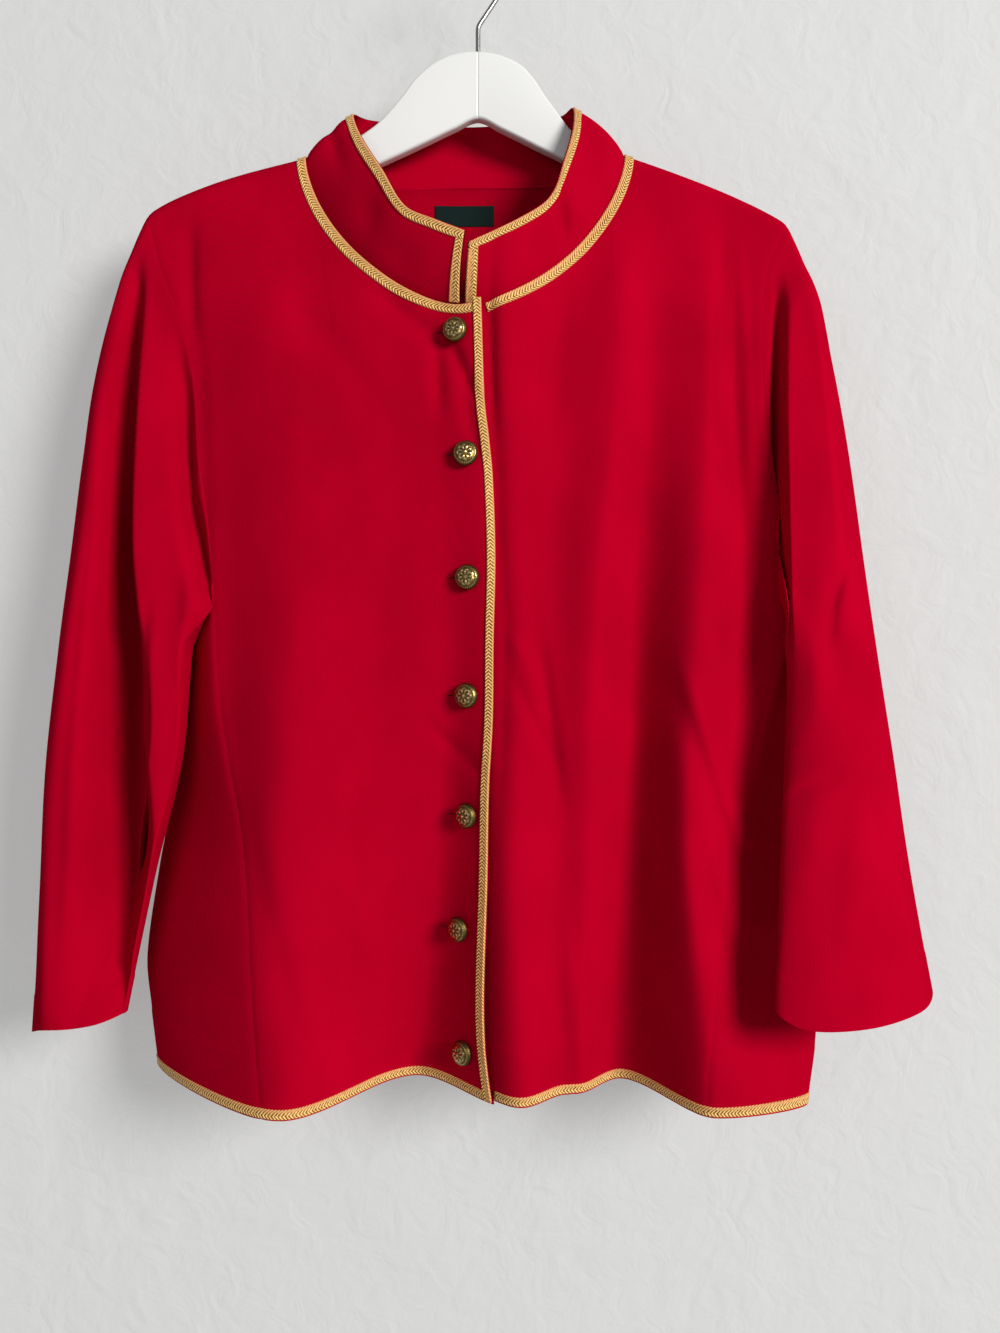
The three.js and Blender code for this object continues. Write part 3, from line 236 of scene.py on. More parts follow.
# The sleeve's two pieces: the share round it at which each starts and ends, and its faces round
SLEEVE_PARTS = {"upper": (-2 / 26, 0.5, 120), "under": (0.5, 1 - 2 / 26, 60)}
# Where the fronts' folds fade out: before the first, after the last, above, below, where the sleeve turns
# away from the front, and along the cap
LAY = {"before": 14.0, "after": 16.0, "above": 40.0, "below": 60.0, "turned_away": 0.1, "turn": 0.4,
       "cap": 0.07}
# The sleeves' fronts: long folds as x and y at the heights z, between the heights they start and end at
SLEEVE_FRONTS = {
    "right": {
        "z": np.array([-720.0, -640.0, -560.0, -500.0, -430.0, -335.0, -250.0]),
        "lines": [
            ("outer ridge", (-287, -281, -276, -273, -268, -266, -250), (-44, -42, -40, -37, -31, -20, -11)),
            ("valley", (-250, -243, -243, -242, -245, -243, -241), (-16, 2, 8, 8, 6, 1, -7)),
            ("edge of the inner fold", (-230, -220, -225, -227, -236, -236, -232),
             (-42, -42, -46, -47, -38, -29, -18)),
            ("inner fold", (-230, -212, -206, -205, -208, -214, -224), (-38, -38, -43, -45, -35, -25, -18)),
        ],
        "from": -215.0, "to": -780.0,
    },
    "left": {
        "z": np.array([-520.0, -460.0, -400.0, -335.0, -250.0]),
        "lines": [
            ("beside the seam", (206, 206, 205, 203, 206), (-58, -46, -33, -26, -21)),
            ("slot", (208, 208.5, 208.5, 208.5, 211), (-60, -44, -22, -16, -17)),
            ("edge of the front", (211, 211.5, 212.5, 214, 219), (-68, -60, -50, -40, -25)),
            ("front", (240, 240, 240, 238, 234), (-74, -63, -51, -38, -22)),
        ],
        "from": -225.0, "to": -520.0,
    },
}
# Where a sleeve is pulled over the armhole: the share round it, the height, how far the pull reaches round
# and up, and how far it moves the cloth in x and y
SLEEVE_PULL = {"right": (0.4, -470, 0.1, 30, 4, -4), "left": (0.38, -458, 0.13, 46, -15, -12)}
SLEEVE_CREASES = {
    "right": table("x0 z0 x1 z1 left right depth", (-187, -497, -203, -540, 4, 4, 3.6),
                   (-193, -508, -198, -544, 4, 4, -2.6), (-268, -520, -262, -640, 9, 7, 1.8),
                   (-290, -600, -284, -740, 8, 9, 1.4), (-203, -285, -201, -400, 9, 5, 13.0),
                   (-198, -405, -186, -462, 8, 5, 13.0), (-228, -560, -240, -690, 8, 8, 1.6)),
    "left": table("x0 z0 x1 z1 left right depth", (228, -226, 235, -283, 7, 4, -1.8),
                  (257, -430, 238, -474, 9, 4, 2.6), (242, -462, 234, -500, 7, 4, 1.8),
                  (238, -584, 204, -603, 5, 8, 2.4), (240, -600, 226, -690, 12, 10, 1.6),
                  (268, -620, 276, -720, 12, 9, 1.6)),
}

COLLAR_TOP = table(
    "at x y z",
    (0.0, -7.6, -59, -224.7), (0.05, -28, -55, -215.6), (0.1, -48, -49, -204.5), (0.17, -64, -38, -176),
    (0.235, -79.5, -24, -148.5), (0.3, -88, -6, -124), (0.345, -80, 12, -118), (0.42, -47, 20, -118.5),
    (0.5, -6, 23, -118.6), (0.58, 38, 20, -117), (0.655, 60, 12, -115.5), (0.7, 67, -6, -119),
    (0.76, 66.5, -20, -139), (0.82, 60, -31, -165), (0.89, 49, -42, -196), (0.94, 28, -50, -213.5),
    (1.0, -5.4, -57, -231.5),
)
COLLAR_END = {"right": -11.4, "left": -8.2}
COLLAR_BELLY = 3.5
COLLAR_FOOT = {"front": 0.4, "behind": 1.8}
# Dents in the collar: the share of the way round and up, the reach of both, and the depth
COLLAR_DENTS = table("t h wide high depth", (0.27, 0.55, 0.04, 0.13, 2.4), (0.3, 0.85, 0.04, 0.12, -1.4),
                     (0.15, 0.5, 0.03, 0.3, 2.4), (0.08, 0.3, 0.03, 0.3, 1.6),
                     (0.866, 0.5, 0.012, 0.4, 4.4), (0.84, 0.45, 0.02, 0.4, -1.6),
                     (0.93, 0.4, 0.025, 0.3, 1.6), (0.76, 0.6, 0.03, 0.2, 1.6))
COLLAR_BRAID_FROM = 0.86
COLLAR_BRAID_SHARE = 0.0115

BUTTONS = table("x z turn", (-13.7, -289, 0.3), (-7, -374, 1.1), (-5.2, -457, 0.7), (-5.2, -536.5, 2.0),
                (-4.8, -617.5, 0.1), (-10.4, -696, 1.6), (-7.2, -785, 0.9))
BUTTON = {"radius": 8.7, "dome": 5.2, "rim": 0.9, "relief": 0.55, "shank": 2.2, "shank_length": 2.6,
          "around": 72, "rings": 44}
BUTTONHOLE = {"aside": 4.5, "reach": 9.5, "half": 1.0, "thread": 0.55}

LABEL = {"x": -10.5, "z": -184.5, "width": 44.0, "height": 15.0, "thick": 0.5}

HANGER = table(
    "x top low half",
    (-215, -190, -200, 3), (-211, -187, -205, 5), (-200, -181, -206.5, 5.4), (-165, -168.6, -196, 5.4),
    (-127, -159.6, -183.5, 5.4), (-106, -151.6, -173.5, 5.4), (-88, -139, -165, 5.4),
    (-70.5, -126.3, -156.8, 5.4), (-54, -107.7, -149.2, 5.4), (-45, -95.6, -145, 5.4),
    (-32, -84.3, -138.8, 5.4), (-17, -77.7, -131.6, 5.4), (0, -76, -124.4, 5.4), (16.5, -78.8, -131.8, 5.4),
    (31.5, -86.3, -139.2, 5.4), (41, -97, -144, 5.4), (48, -107.7, -147.4, 5.4), (57.5, -120.6, -152, 5.4),
    (66, -131.5, -156.4, 5.4), (84, -148, -165, 5.4), (104, -161.4, -174.5, 5.4),
    (127, -166.4, -184.5, 5.4), (165, -177.6, -200, 5.4), (193, -189.6, -210, 5.4), (204, -194.5, -211, 5),
    (209, -199, -207.5, 3),
)
HANGER_CORNER = 2.6
GROOVE = {"deep": 0.5, "half": 0.45}
HOOK = {"inner": 19.0, "wire": 1.8, "bend_z": -56.5, "foot_z": -75.6, "end": 205.0}

# The stage, in metres
STAGE = {"wall_y": 0.064, "wall_top": 1.2, "reach": 1.6, "floor_z": -1.95, "floor_depth": 2.6,
         "aim": (0.0, 0.0, -0.45)}
CAMERA = {"x": 0.01584, "y": -0.85, "z": -0.517, "lens": 31.88, "sensor": 36.0}


def clamp01(t):
    return np.clip(t, 0.0, 1.0)


def smooth(t):
    t = clamp01(t)
    return t * t * (3 - 2 * t)


def bell(t):
    return np.exp(-t * t)


def mix(a, b, t):
    return a + (b - a) * t


def steps(n):
    return np.linspace(0.0, 1.0, n + 1)


def once_round(count):
    return np.arange(count) * 2 * math.pi / count


def unit(v):
    """Vectors made one long; the tiny number keeps those with no length from a division by nothing."""
    return v / (np.linalg.norm(v, axis=-1, keepdims=True) + 1e-12)


def hermite(a, b, ta, tb, u):
    """A cubic from a to b with the tangents ta and tb; u is the share of the way."""
    rise = 3 * u * u - 2 * u ** 3
    return a * (1 - rise) + b * rise + ta * (u ** 3 - 2 * u * u + u) + tb * (u ** 3 - u * u)


def along(at, values, t):
    """Cubic pieces through the values, each with the slope between its neighbours."""
    at, values, t = (np.asarray(given, float) for given in (at, values, t))
    if at[0] > at[-1]:
        at, values = at[::-1], values[::-1]
    slopes = np.gradient(values, np.arange(len(at))) / np.gradient(at, np.arange(len(at)))
    i = np.clip(np.searchsorted(at, t, side="right") - 1, 0, len(at) - 2)
    span = at[i + 1] - at[i]
    u = clamp01((t - at[i]) / span)
    return hermite(values[i], values[i + 1], slopes[i] * span, slopes[i + 1] * span, u)


def look(rows, key, t, by="z"):
    return along(rows[by], rows[key], t)


def shoulder_z(x):
    return look(SHOULDER, "z", x, by="x")


def drop_of(s):
    """How far below the shoulder's ridge the cloth is after the way s over its round."""
    near = SHOULDER_ROUND * (1 - np.cos(s / SHOULDER_ROUND))
    return np.where(s < QUARTER, near, SHOULDER_ROUND + s - QUARTER)


def way_of(drop):
    turned = np.arccos(1 - np.clip(drop, 0, SHOULDER_ROUND) / SHOULDER_ROUND)
    return np.where(drop < SHOULDER_ROUND, SHOULDER_ROUND * turned, drop - SHOULDER_ROUND + QUARTER)


def fold_depth(folds, x, z, heights=FOLD_Z):
    """Depth of a folded sheet: from each ridge or valley to the next it passes smoothly, level at both."""
    at = [(along(heights, across, z), along(heights, deep, z)) for _, across, deep in folds]
    y = at[0][1] + 0 * x
    for (x0, y0), (x1, y1) in zip(at, at[1:]):
        y = y + (y1 - y0) * smooth((x - x0) / (x1 - x0))
    return y


def crease_depth(creases, x, z):
    """A bell across each line, fading at its two ends: how far the cloth lies back there."""
    total = np.zeros(np.broadcast(x, z).shape)
    for x0, z0, x1, z1, left, right, depth in zip(*creases.values()):
        length = math.hypot(x1 - x0, z1 - z0)
        across, up = (x1 - x0) / length, (z1 - z0) / length
        share = ((x - x0) * across + (z - z0) * up) / length
        off = (z - z0) * across - (x - x0) * up
        off = off / np.where(off > 0, right, left)
        fade = smooth((share + CREASE_PAST) / CREASE_FADE) * smooth((1 + CREASE_PAST - share) / CREASE_FADE)
        total = total + depth * bell(off) * fade
    return total


def hem_lift(y, z):
    """The further back the cloth hangs, the higher its hem is."""
    return HEM_LIFT * (y - HEM_RIDGE_Y) * smooth((HEM_LIFT_FROM - z) / (HEM_LIFT_FROM - HEM_Z))


def ripple(x, z):
    """A slight unevenness, of waves that are bent so that they don't repeat."""
    across = np.sin(x / 17 + 2 * np.sin(z / 90))
    return RIPPLE * across * np.sin(z / 46 + 1.3 * np.sin(x / 41))


def body_point(x, s, side):
    """The body's cloth at x, s below the ridge: round over the arm, then falling in its folds."""
    drop = drop_of(s)
    z = shoulder_z(x) - drop
    over = np.where(s < QUARTER, SHOULDER_ROUND * np.sin(s / SHOULDER_ROUND), SHOULDER_ROUND)
    folds, fall = (FRONT_FOLDS, FRONT_FALL) if side < 0 else (BACK_FOLDS, BACK_FALL)
    deep = np.abs(fold_depth(folds, x, z)) - SHOULDER_ROUND
    small = ripple(x, z)
    if side < 0:
        small = small + crease_depth(CREASES, x, z)
    y = side * (over + np.where(s > 0, deep * smooth(drop / fall), 0.0)) + small * smooth(drop / CREASE_FALL)
    return np.stack(np.broadcast_arrays(x, y, z + hem_lift(y, z)), -1)


def body_at(x, z, side):
    x, z = np.broadcast_arrays(np.asarray(x, float), np.asarray(z, float))
    return body_point(x, way_of(shoulder_z(x) - z), side)


def edge_x(z):
    return look(FRONT_EDGE, "x", z)


def lap_shift(p, over):
    """Where the fronts lap, the upper one (over 1) stands out and the lower one (over -1) lies in."""
    past = p[..., 0] - edge_x(p[..., 2])
    in_lap = smooth((past + LAP_WIDTH + LAP_FADE) / LAP_FADE)
    out = p.copy()
    out[..., 1] -= over * LAP_OFFSET * np.minimum(in_lap, smooth((LAP_FADE - past) / LAP_FADE))
    if over < 0:
        out[..., 1] += LAP_SINK * bell(np.maximum(past, 0) / LAP_SINK_WIDTH) * in_lap
    return out


def neck_half(on_right):
    return np.where(on_right, NECK["middle"] - NECK["left"], NECK["right"] - NECK["middle"])


def neck_open(x, power):
    across = clamp01(np.abs(x - NECK["middle"]) / neck_half(x < NECK["middle"]))
    return (1 - across ** power) ** (1 / power)


def neck_behind(turn):
    """The x of the back neckline, half a turn from one end to the other."""
    return NECK["middle"] - neck_half(turn < math.pi / 2) * np.cos(turn)


def front_neck_z(x):
    side = np.where(x < NECK["middle"], NECK["left"], NECK["right"])
    top = shoulder_z(side) - drop_of(SEAM_WAY)
    return mix(top, NECK["top"] - NECK["drop"], neck_open(x, NECK["power"]))


def back_neck_way(x):
    return mix(-SEAM_WAY, BACK_NECK_DROP, neck_open(x, BACK_NECK_POWER))


def place(x, z):
    return {"x": x, "z": z, "s": way_of(shoulder_z(x) - z)}


def place_at_way(x, s):
    s = s + 0 * x
    return {"x": x, "z": shoulder_z(x) - drop_of(s), "s": s}


def chosen(test, a, b):
    return {key: np.where(test, a[key], b[key]) for key in a}


def back_seam_x(seam, s, first_x):
    """A back seam's x after the way s. It depends on the height, which depends on x, so it takes rounds."""
    x = first_x + 0 * s
    for _ in range(SEAM_ROUNDS):
        x = look(seam, "x", shoulder_z(x) - drop_of(np.abs(s)))
    return x


def panel(edges, side, u, w):
    """A four-sided panel between its hem, its top and its two seams, as a blend of the four edges."""
    hem, top, inner, outer = (edges[name] for name in ("hem", "top", "inner", "outer"))

    def off_straight(edge, key):
        return edge(u)[key] - mix(edge(0 * u)[key], edge(0 * u + 1)[key], u)

    def blend(key):
        across = mix(off_straight(hem, key), off_straight(top, key), w)
        return across + mix(inner(w)[key], outer(w)[key], u)

    x = blend("x")
    low = way_of(shoulder_z(x) - blend("z"))
    return body_point(x, mix(low, blend("s"), smooth(2 * w - 1)), side)


def front_edges(over):
    """The four edges of a front: the upper one ends at its edge and the lower one a lap further in."""
    seam, neck_x = (SEAMS["front_right"], NECK["left"]) if over > 0 else (SEAMS["front_left"], NECK["right"])
    lap = 0 if over > 0 else LAP_WIDTH
    corner_x = edge_x(NECK_CORNER_Z) - lap
    corner_x = edge_x(front_neck_z(corner_x)) - lap

    def top(u):
        turn = np.sin(clamp01(u / FRONT_NECK_SHARE) * math.pi / 2)
        x = mix(corner_x, neck_x, turn)
        beyond = clamp01((u - FRONT_NECK_SHARE) / (1 - FRONT_NECK_SHARE))
        at_shoulder = place_at_way(mix(neck_x, seam["x"][-1], beyond), SEAM_WAY)
        return chosen(u < FRONT_NECK_SHARE, place(x, front_neck_z(x)), at_shoulder)

    def hem(u):
        return place(mix(edge_x(HEM_Z) - lap, seam["x"][0], u), HEM_Z + 0 * u)

    def inner(w):
        z = mix(HEM_Z, top(0 * w)["z"], w)
        return place(edge_x(z) - lap, z)

    def outer(w):
        z = mix(HEM_Z, top(0 * w + 1)["z"], w)
        return place(look(seam, "x", z), z)

    return {"hem": hem, "top": top, "inner": inner, "outer": outer}


def back_edges():
    right, left = SEAMS["back_right"], SEAMS["back_left"]
    share = BACK_SHOULDER_SHARE

    def top(u):
        x = neck_behind(clamp01((u - share) / (1 - 2 * share)) * math.pi)
        on_right = place_at_way(mix(right["x"][-1], NECK["left"], clamp01(u / share)), -SEAM_WAY)
        on_left = place_at_way(mix(left["x"][-1], NECK["right"], clamp01((1 - u) / share)), -SEAM_WAY)
        return chosen(u < share, on_right, chosen(u > 1 - share, on_left, place_at_way(x, back_neck_way(x))))

    def climb(seam):
        def edge(w):
            s = mix(place(seam["x"][0], HEM_Z)["s"], -SEAM_WAY, w)
            return place_at_way(back_seam_x(seam, s, seam["x"][0]), s)
        return edge

    def hem(u):
        return place(mix(right["x"][0], left["x"][0], u), HEM_Z + 0 * u)

    return {"hem": hem, "top": top, "inner": climb(right), "outer": climb(left)}


def side_point(side, q, w):
    """A side panel: from the front's seam out to the side line and round to the back's seam."""
    sign, under, line = OUTWARD[side], UNDERARM[side], SIDE_LINE[side]
    zf, zb, ze = (mix(HEM_Z, top, w) for top in (under["front"], under["back"], line["z"][-1]))
    front = body_at(look(SEAMS["front_" + side], "x", zf), zf, -1)
    back = body_at(look(SEAMS["back_" + side], "x", zb), zb, 1)
    ye = look(line, "y", ze)
    edge = np.stack([look(line, "x", ze), ye, ze + hem_lift(ye, ze)], -1)
    front_slope = body_at(front[..., 0] + sign, zf, -1)[..., 1] - front[..., 1]
    back_slope = body_at(back[..., 0] + sign, zb, 1)[..., 1] - back[..., 1]
    zero = np.zeros_like(front_slope)

    def span(a, b):
        return np.linalg.norm(a - b, axis=-1)[..., None]

    first, second = span(front, edge), span(edge, back)
    ahead = np.stack([zero + sign, front_slope, zero], -1) * SIDE_ROUNDNESS * first
    behind = np.stack([zero - sign, -back_slope, zero], -1) * second
    level = np.stack([zero, zero + SIDE_ROUNDNESS, zero], -1)
    q = q[..., None]
    near = hermite(front, edge, ahead, level * first, clamp01(2 * q))
    far = hermite(edge, back, level * second, behind, clamp01(2 * q - 1))
    return np.where(q < 0.5, near, far)


def sleeve_ring(side, q, z):
    """The closed curve through the sleeve's lines at one height; q goes once round from the outside."""
    heights, lines = SLEEVES[side]["z"], SLEEVES[side]["lines"]
    columns = {
        "x": np.stack([along(heights, x, z) for _, _, x, _ in lines]),
        "y": np.stack([along(heights, y, z) for _, _, _, y in lines]),
        "dip": np.stack([dip + 0 * z for _, dip, _, _ in lines]),
    }
    n = len(lines)
    at = np.mod(q, 1.0) * n
    i = np.floor(at).astype(int) % n
    u = at - np.floor(at)

    def spline(key):
        a, b, c, d = (np.take_along_axis(columns[key], ((i + k) % n)[None], 0)[0] for k in (-1, 0, 1, 2))
        curve = (2 * a - 5 * b + 4 * c - d) * u * u + (3 * b - a - 3 * c + d) * u ** 3
        return 0.5 * (2 * b + (c - a) * u + curve)

    lower = smooth((heights[0] - z) / (heights[0] - heights[-1]))
    return np.stack([spline("x"), spline("y"), z + spline("dip") * lower], -1)


def armhole(side, q):
    """The armhole's edge: down the front's, along the side panel's top and up the back's."""
    front_seam, back_seam, under = SEAMS["front_" + side], SEAMS["back_" + side], UNDERARM[side]
    tip = place_at_way(front_seam["x"][-1] + 0 * q, SEAM_WAY)
    z = mix(tip["z"], under["front"], clamp01(q / ARMHOLE_FRONT))
    x = np.where(z > front_seam["z"][-1], front_seam["x"][-1], look(front_seam, "x", z))
    low = way_of(shoulder_z(look(back_seam, "x", under["back"])) - under["back"])
    s = mix(-SEAM_WAY, low, clamp01((1 - q) / (1 - ARMHOLE_BACK)))
    on_back = body_point(back_seam_x(back_seam, s, back_seam["x"][-1]), s, 1)
    under_arm = side_point(side, clamp01((q - ARMHOLE_FRONT) / (ARMHOLE_BACK - ARMHOLE_FRONT)), 0 * q + 1)
    first, last = (q < ARMHOLE_FRONT)[..., None], (q > ARMHOLE_BACK)[..., None]
    return np.where(first, body_at(x, z, -1), np.where(last, on_back, under_arm))


def sleeve_point(side, q, v):
    """The sleeve: a curved cap from the armhole to the first ring, then the rings down to the cuff."""
    sign, share = OUTWARD[side], CAP["share"]
    q = np.mod(q, 1.0)
    heights = SLEEVES[side]["z"]
    low = (1 - np.cos(2 * math.pi * q)) / 2
    turned = np.mod(q + RING_TURN * low, 1.0)
    arm = sleeve_ring(side, turned, mix(heights[0], heights[-1], clamp01((v - share) / (1 - share))))
    start = armhole(side, q)
    clear = smooth((CLEAR["reach"] - np.abs(q - 0.5)) / CLEAR["fade"])
    start[..., 0] += sign * mix(SEAM_OVERLAP, CLEAR["gap"], clear)
    to = sleeve_ring(side, turned, heights[0] + 0 * q)
    below = sleeve_ring(side, turned, heights[0] - CAP["look_below"] + 0 * q) - to
    span = np.linalg.norm(start - to, axis=-1)[..., None]
    push = UNDERARM_PUSH[side] * smooth((low - CAP["push_from"]) / (1 - CAP["push_from"]))
    outward = mix(CAP["out"], CAP["out_low"], smooth(2 * low)) + push
    leave = np.stack([sign * outward, 0 * low, -mix(CAP["fall"], CAP["fall_low"], low)], -1)
    v = v[..., None]
    cap = hermite(start, to, leave * span * CAP["leave"], unit(below) * span, clamp01(v / share))
    return np.where(v < share, cap, arm)


def normals(p, flip=False):
    """Unit normals of a grid of points."""
    out = unit(np.cross(np.gradient(p, axis=1), np.gradient(p, axis=0)))
    return -out if flip else out


def lengths(p, axis):
    """Distance gone along each line of the grid, from its start."""
    step = np.linalg.norm(np.diff(p, axis=axis), axis=-1)
    gone = np.cumsum(step, axis=axis)
    return np.concatenate([np.zeros_like(np.take(gone, [0], axis)), gone], axis)


def make(name, vertices, faces, uv=None, attributes=None):
    """A mesh object from arrays: vertices in millimetres, quads, and a UV for each vertex."""
    mesh = bpy.data.meshes.new(name)
    mesh.vertices.add(len(vertices))
    mesh.vertices.foreach_set("co", (np.asarray(vertices) * MM).astype(np.float32).ravel())
    count = len(faces)
    mesh.loops.add(4 * count)
    mesh.loops.foreach_set("vertex_index", faces.astype(np.int32).ravel())
    mesh.polygons.add(count)
    mesh.polygons.foreach_set("loop_start", np.arange(0, 4 * count, 4, dtype=np.int32))
    mesh.polygons.foreach_set("loop_total", np.full(count, 4, dtype=np.int32))
    mesh.update(calc_edges=True)
    if uv is not None:
        layer = mesh.uv_layers.new(name="cut")
        layer.data.foreach_set("uv", (uv[faces.ravel()] * MM).astype(np.float32).ravel())
    for key, values in (attributes or {}).items():
        mesh.attributes.new(key, "FLOAT", "POINT").data.foreach_set("value", values.astype(np.float32))
    mesh.shade_smooth()
    thing = bpy.data.objects.new("look_" + name, mesh)
    bpy.context.scene.collection.objects.link(thing)
    return thing


def grid_faces(high, wide, start=0, around=False):
    j, i = np.meshgrid(np.arange(high - 1), np.arange(wide if around else wide - 1), indexing="ij")
    a, b = start + j * wide + i, start + j * wide + (i + 1) % wide
    return np.stack([a, b, b + wide, a + wide], -1).reshape(-1, 4)


def make_rings(name, rings, uv, attributes=None):
    """A mesh from closed rings of points, one after the other."""
    faces = grid_faces(*rings.shape[:2], around=True)
    return make(name, rings.reshape(-1, 3), faces, np.stack(uv, -1).reshape(-1, 2), attributes)


def wall(name, outer, inner, flip, shown=None):
    """A closed wall between an outer and an inner grid of points; shown holds the outer grid's normals."""
    high, wide = outer.shape[:2]
    size = high * wide
    ids = np.arange(size).reshape(high, wide)
    rim = np.concatenate([ids[0], ids[1:, -1], ids[-1, -2::-1], ids[-2:0:-1, 0]])
    after = np.roll(rim, -1)
    rims = np.stack([rim, rim + size, after + size, after], -1)
    faces = np.concatenate([grid_faces(high, wide), grid_faces(high, wide, size)[:, ::-1], rims])
    if flip:
        faces = faces[:, ::-1]
    gone = np.repeat(lengths(outer, 1)[[high // 2]], high, 0)
    uv = np.stack([gone, lengths(outer, 0)], -1).reshape(-1, 2)
    vertices = np.concatenate([outer.reshape(-1, 3), inner.reshape(-1, 3)])
    thing = make(name, vertices, faces, np.concatenate([uv, uv]))
    if shown is not None:
        both = np.concatenate([shown.reshape(-1, 3), -shown.reshape(-1, 3)])
        thing.data.normals_split_custom_set_from_vertices(both.tolist())
    return thing


def cloth(name, p, flip=False, thick=CLOTH, seams="", turn=0.0):
    """A wall of cloth on a grid of its middle points. Named edges dip into their seam, and the turned-up
    hem stands out by a small step as far up as turn."""
    out = normals(p, flip)
    across, up = lengths(p, 1), lengths(p, 0)
    away = {"start": across, "end": across[:, -1:] - across, "low": up, "top": up[-1:] - up}
    lift = np.zeros(p.shape[:2])
    for edge in seams.split():
        lift -= SEAM_DIP * bell(away[edge] / SEAM_DIP_WIDTH)
    if turn:
        lift += TURN_STEP * (1 - smooth((away["low"] - turn) / TURN_STEP_WIDTH))
    middle = p + out * lift[..., None]
    half = thick / 2
    return wall(name, middle + out * half, middle - out * half, flip, normals(middle, flip))


def shaped_sleeve(side, q, v):
    """The sleeve pulled over its armhole, its front laid in long folds and small creases."""
    p = sleeve_point(side, q, v)
    share, height, wide, high, pull_x, pull_y = SLEEVE_PULL[side]
    pull = bell((np.mod(q, 1.0) - share) / wide) * bell((p[..., 2] - height) / high) * smooth(v / 0.1)
    p[..., 0] += pull_x * pull
    p[..., 1] += pull_y * pull
    folds = SLEEVE_FRONTS[side]
    heights, lines = folds["z"], folds["lines"]
    x, z = p[..., 0], p[..., 2]
    first, last = (along(heights, lines[k][1], z) for k in (0, -1))
    between = smooth((x - first + LAY["before"]) / LAY["before"])
    between = between * smooth((last + LAY["after"] - x) / LAY["after"])
    level = smooth((folds["from"] - z) / LAY["above"]) * smooth((z - folds["to"]) / LAY["below"])
    facing = smooth((-normals(p, side == "left")[..., 1] - LAY["turned_away"]) / LAY["turn"])
    laid = between * level * facing * smooth(v / LAY["cap"])
    p[..., 1] = mix(p[..., 1], fold_depth(lines, x, z, heights), laid)
    uneven = SLEEVE_RIPPLE * np.sin(q * 40 + z / 33) * np.sin(z / 27 + q * 13)
    small = crease_depth(SLEEVE_CREASES[side], x, z) * facing + uneven
    p[..., 1] += small * smooth((1 - v) * 30) * smooth(v * 12)
    return p


def toward_edges(n):
    """Shares from 0 to 1 that crowd a little towards both ends."""
    t = steps(n)
    return t - CROWDING * np.sin(2 * math.pi * t) / math.pi


def crowded_grid(name):
    return np.meshgrid(*(toward_edges(count) for count in GRID[name]))


# The neckline, and strips that lie on the cloth
def neck_path(right_x, left_x):
    """The neckline as x and the distance across the shoulder, from the right front round to the left."""
    def arc(start, end):
        x = mix(start, end, np.sin(steps(200) * math.pi / 2))
        return np.stack([x, -way_of(shoulder_z(x) - front_neck_z(x))], -1)

    x = neck_behind(steps(300)[1:-1] * math.pi)
    behind = np.stack([x, back_neck_way(x)], -1)
    return np.concatenate([arc(right_x, NECK["left"]), behind, arc(left_x, NECK["right"])[::-1]])


def evenly(path, count):
    gone = np.concatenate([[0], np.cumsum(np.linalg.norm(np.diff(path, axis=0), axis=1))])
    at = np.linspace(0, gone[-1], count + 1)
    return np.stack([np.interp(at, gone, path[:, k]) for k in range(path.shape[1])], -1)


def softened(path, times):
    for _ in range(times):
        path = np.concatenate([path[:1], (path[:-2] + 2 * path[1:-1] + path[2:]) / 4, path[-1:]])
    return path


def across_shoulder(p, over):
    """Body points at x and a distance across the shoulder that is negative on the front."""
    x, across = p[..., 0], p[..., 1]
    on_front = body_point(x, np.maximum(-across, 0), -1)
    front = np.where((over > 0)[..., None], lap_shift(on_front, 1), lap_shift(on_front, -1))
    return np.where((across < -SEAM_WAY)[..., None], front, body_point(x, across, 1))


def neck_strip(right_x, left_x, offsets, count):
    """Lines along the neckline, each at one of the offsets beside it."""
    path = softened(evenly(neck_path(right_x, left_x), count), 4)
    ahead = unit(np.gradient(path, axis=0))
    beside = np.stack([-ahead[:, 1], ahead[:, 0]], -1)
    over = np.where(np.arange(count + 1) < count / 2, 1.0, -1.0)
    return np.stack([across_shoulder(path + beside * off, over) for off in offsets])


NECK_LOOP = neck_strip(COLLAR_END["right"], COLLAR_END["left"], [0.0], NECK_STATIONS)[0]


def neck_at(t):
    at = clamp01(t) * NECK_STATIONS
    return np.stack([np.interp(at, np.arange(NECK_STATIONS + 1), NECK_LOOP[:, k]) for k in range(3)], -1)


def collar_point(t, h):
    """The stand: from the neckline to its top edge, with a belly half way up and dents. Its foot lies a
    little above the neckline in front and below it behind."""
    foot = neck_at(t)
    head = np.stack([look(COLLAR_TOP, key, t, by="at") for key in ("x", "y", "z")], -1)
    rise = head - foot
    behind = smooth((0.22 - np.abs(t - 0.5)) / 0.12)
    above = COLLAR_FOOT["front"] * np.abs(np.cos(math.pi * t)) - COLLAR_FOOT["behind"] * behind
    foot = foot + unit(rise) * above[..., None]
    out = unit(np.cross(neck_at(t + 0.01) - neck_at(t - 0.01), rise))
    in_middle = 4 * h * (1 - h)
    dent = 0.5 * np.sin(19 * t) * np.sin(math.pi * h)
    for at, up, wide, high, depth in zip(*COLLAR_DENTS.values()):
        dent = dent - depth * bell((t - at) / wide) * bell((h - up) / high) * in_middle
    return foot + (head - foot) * h[..., None] - out * (COLLAR_BELLY * in_middle + dent)[..., None]


def dress(thing, node_name):
    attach(thing, "root")
    if node_name:
        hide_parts(node_name)
    return thing


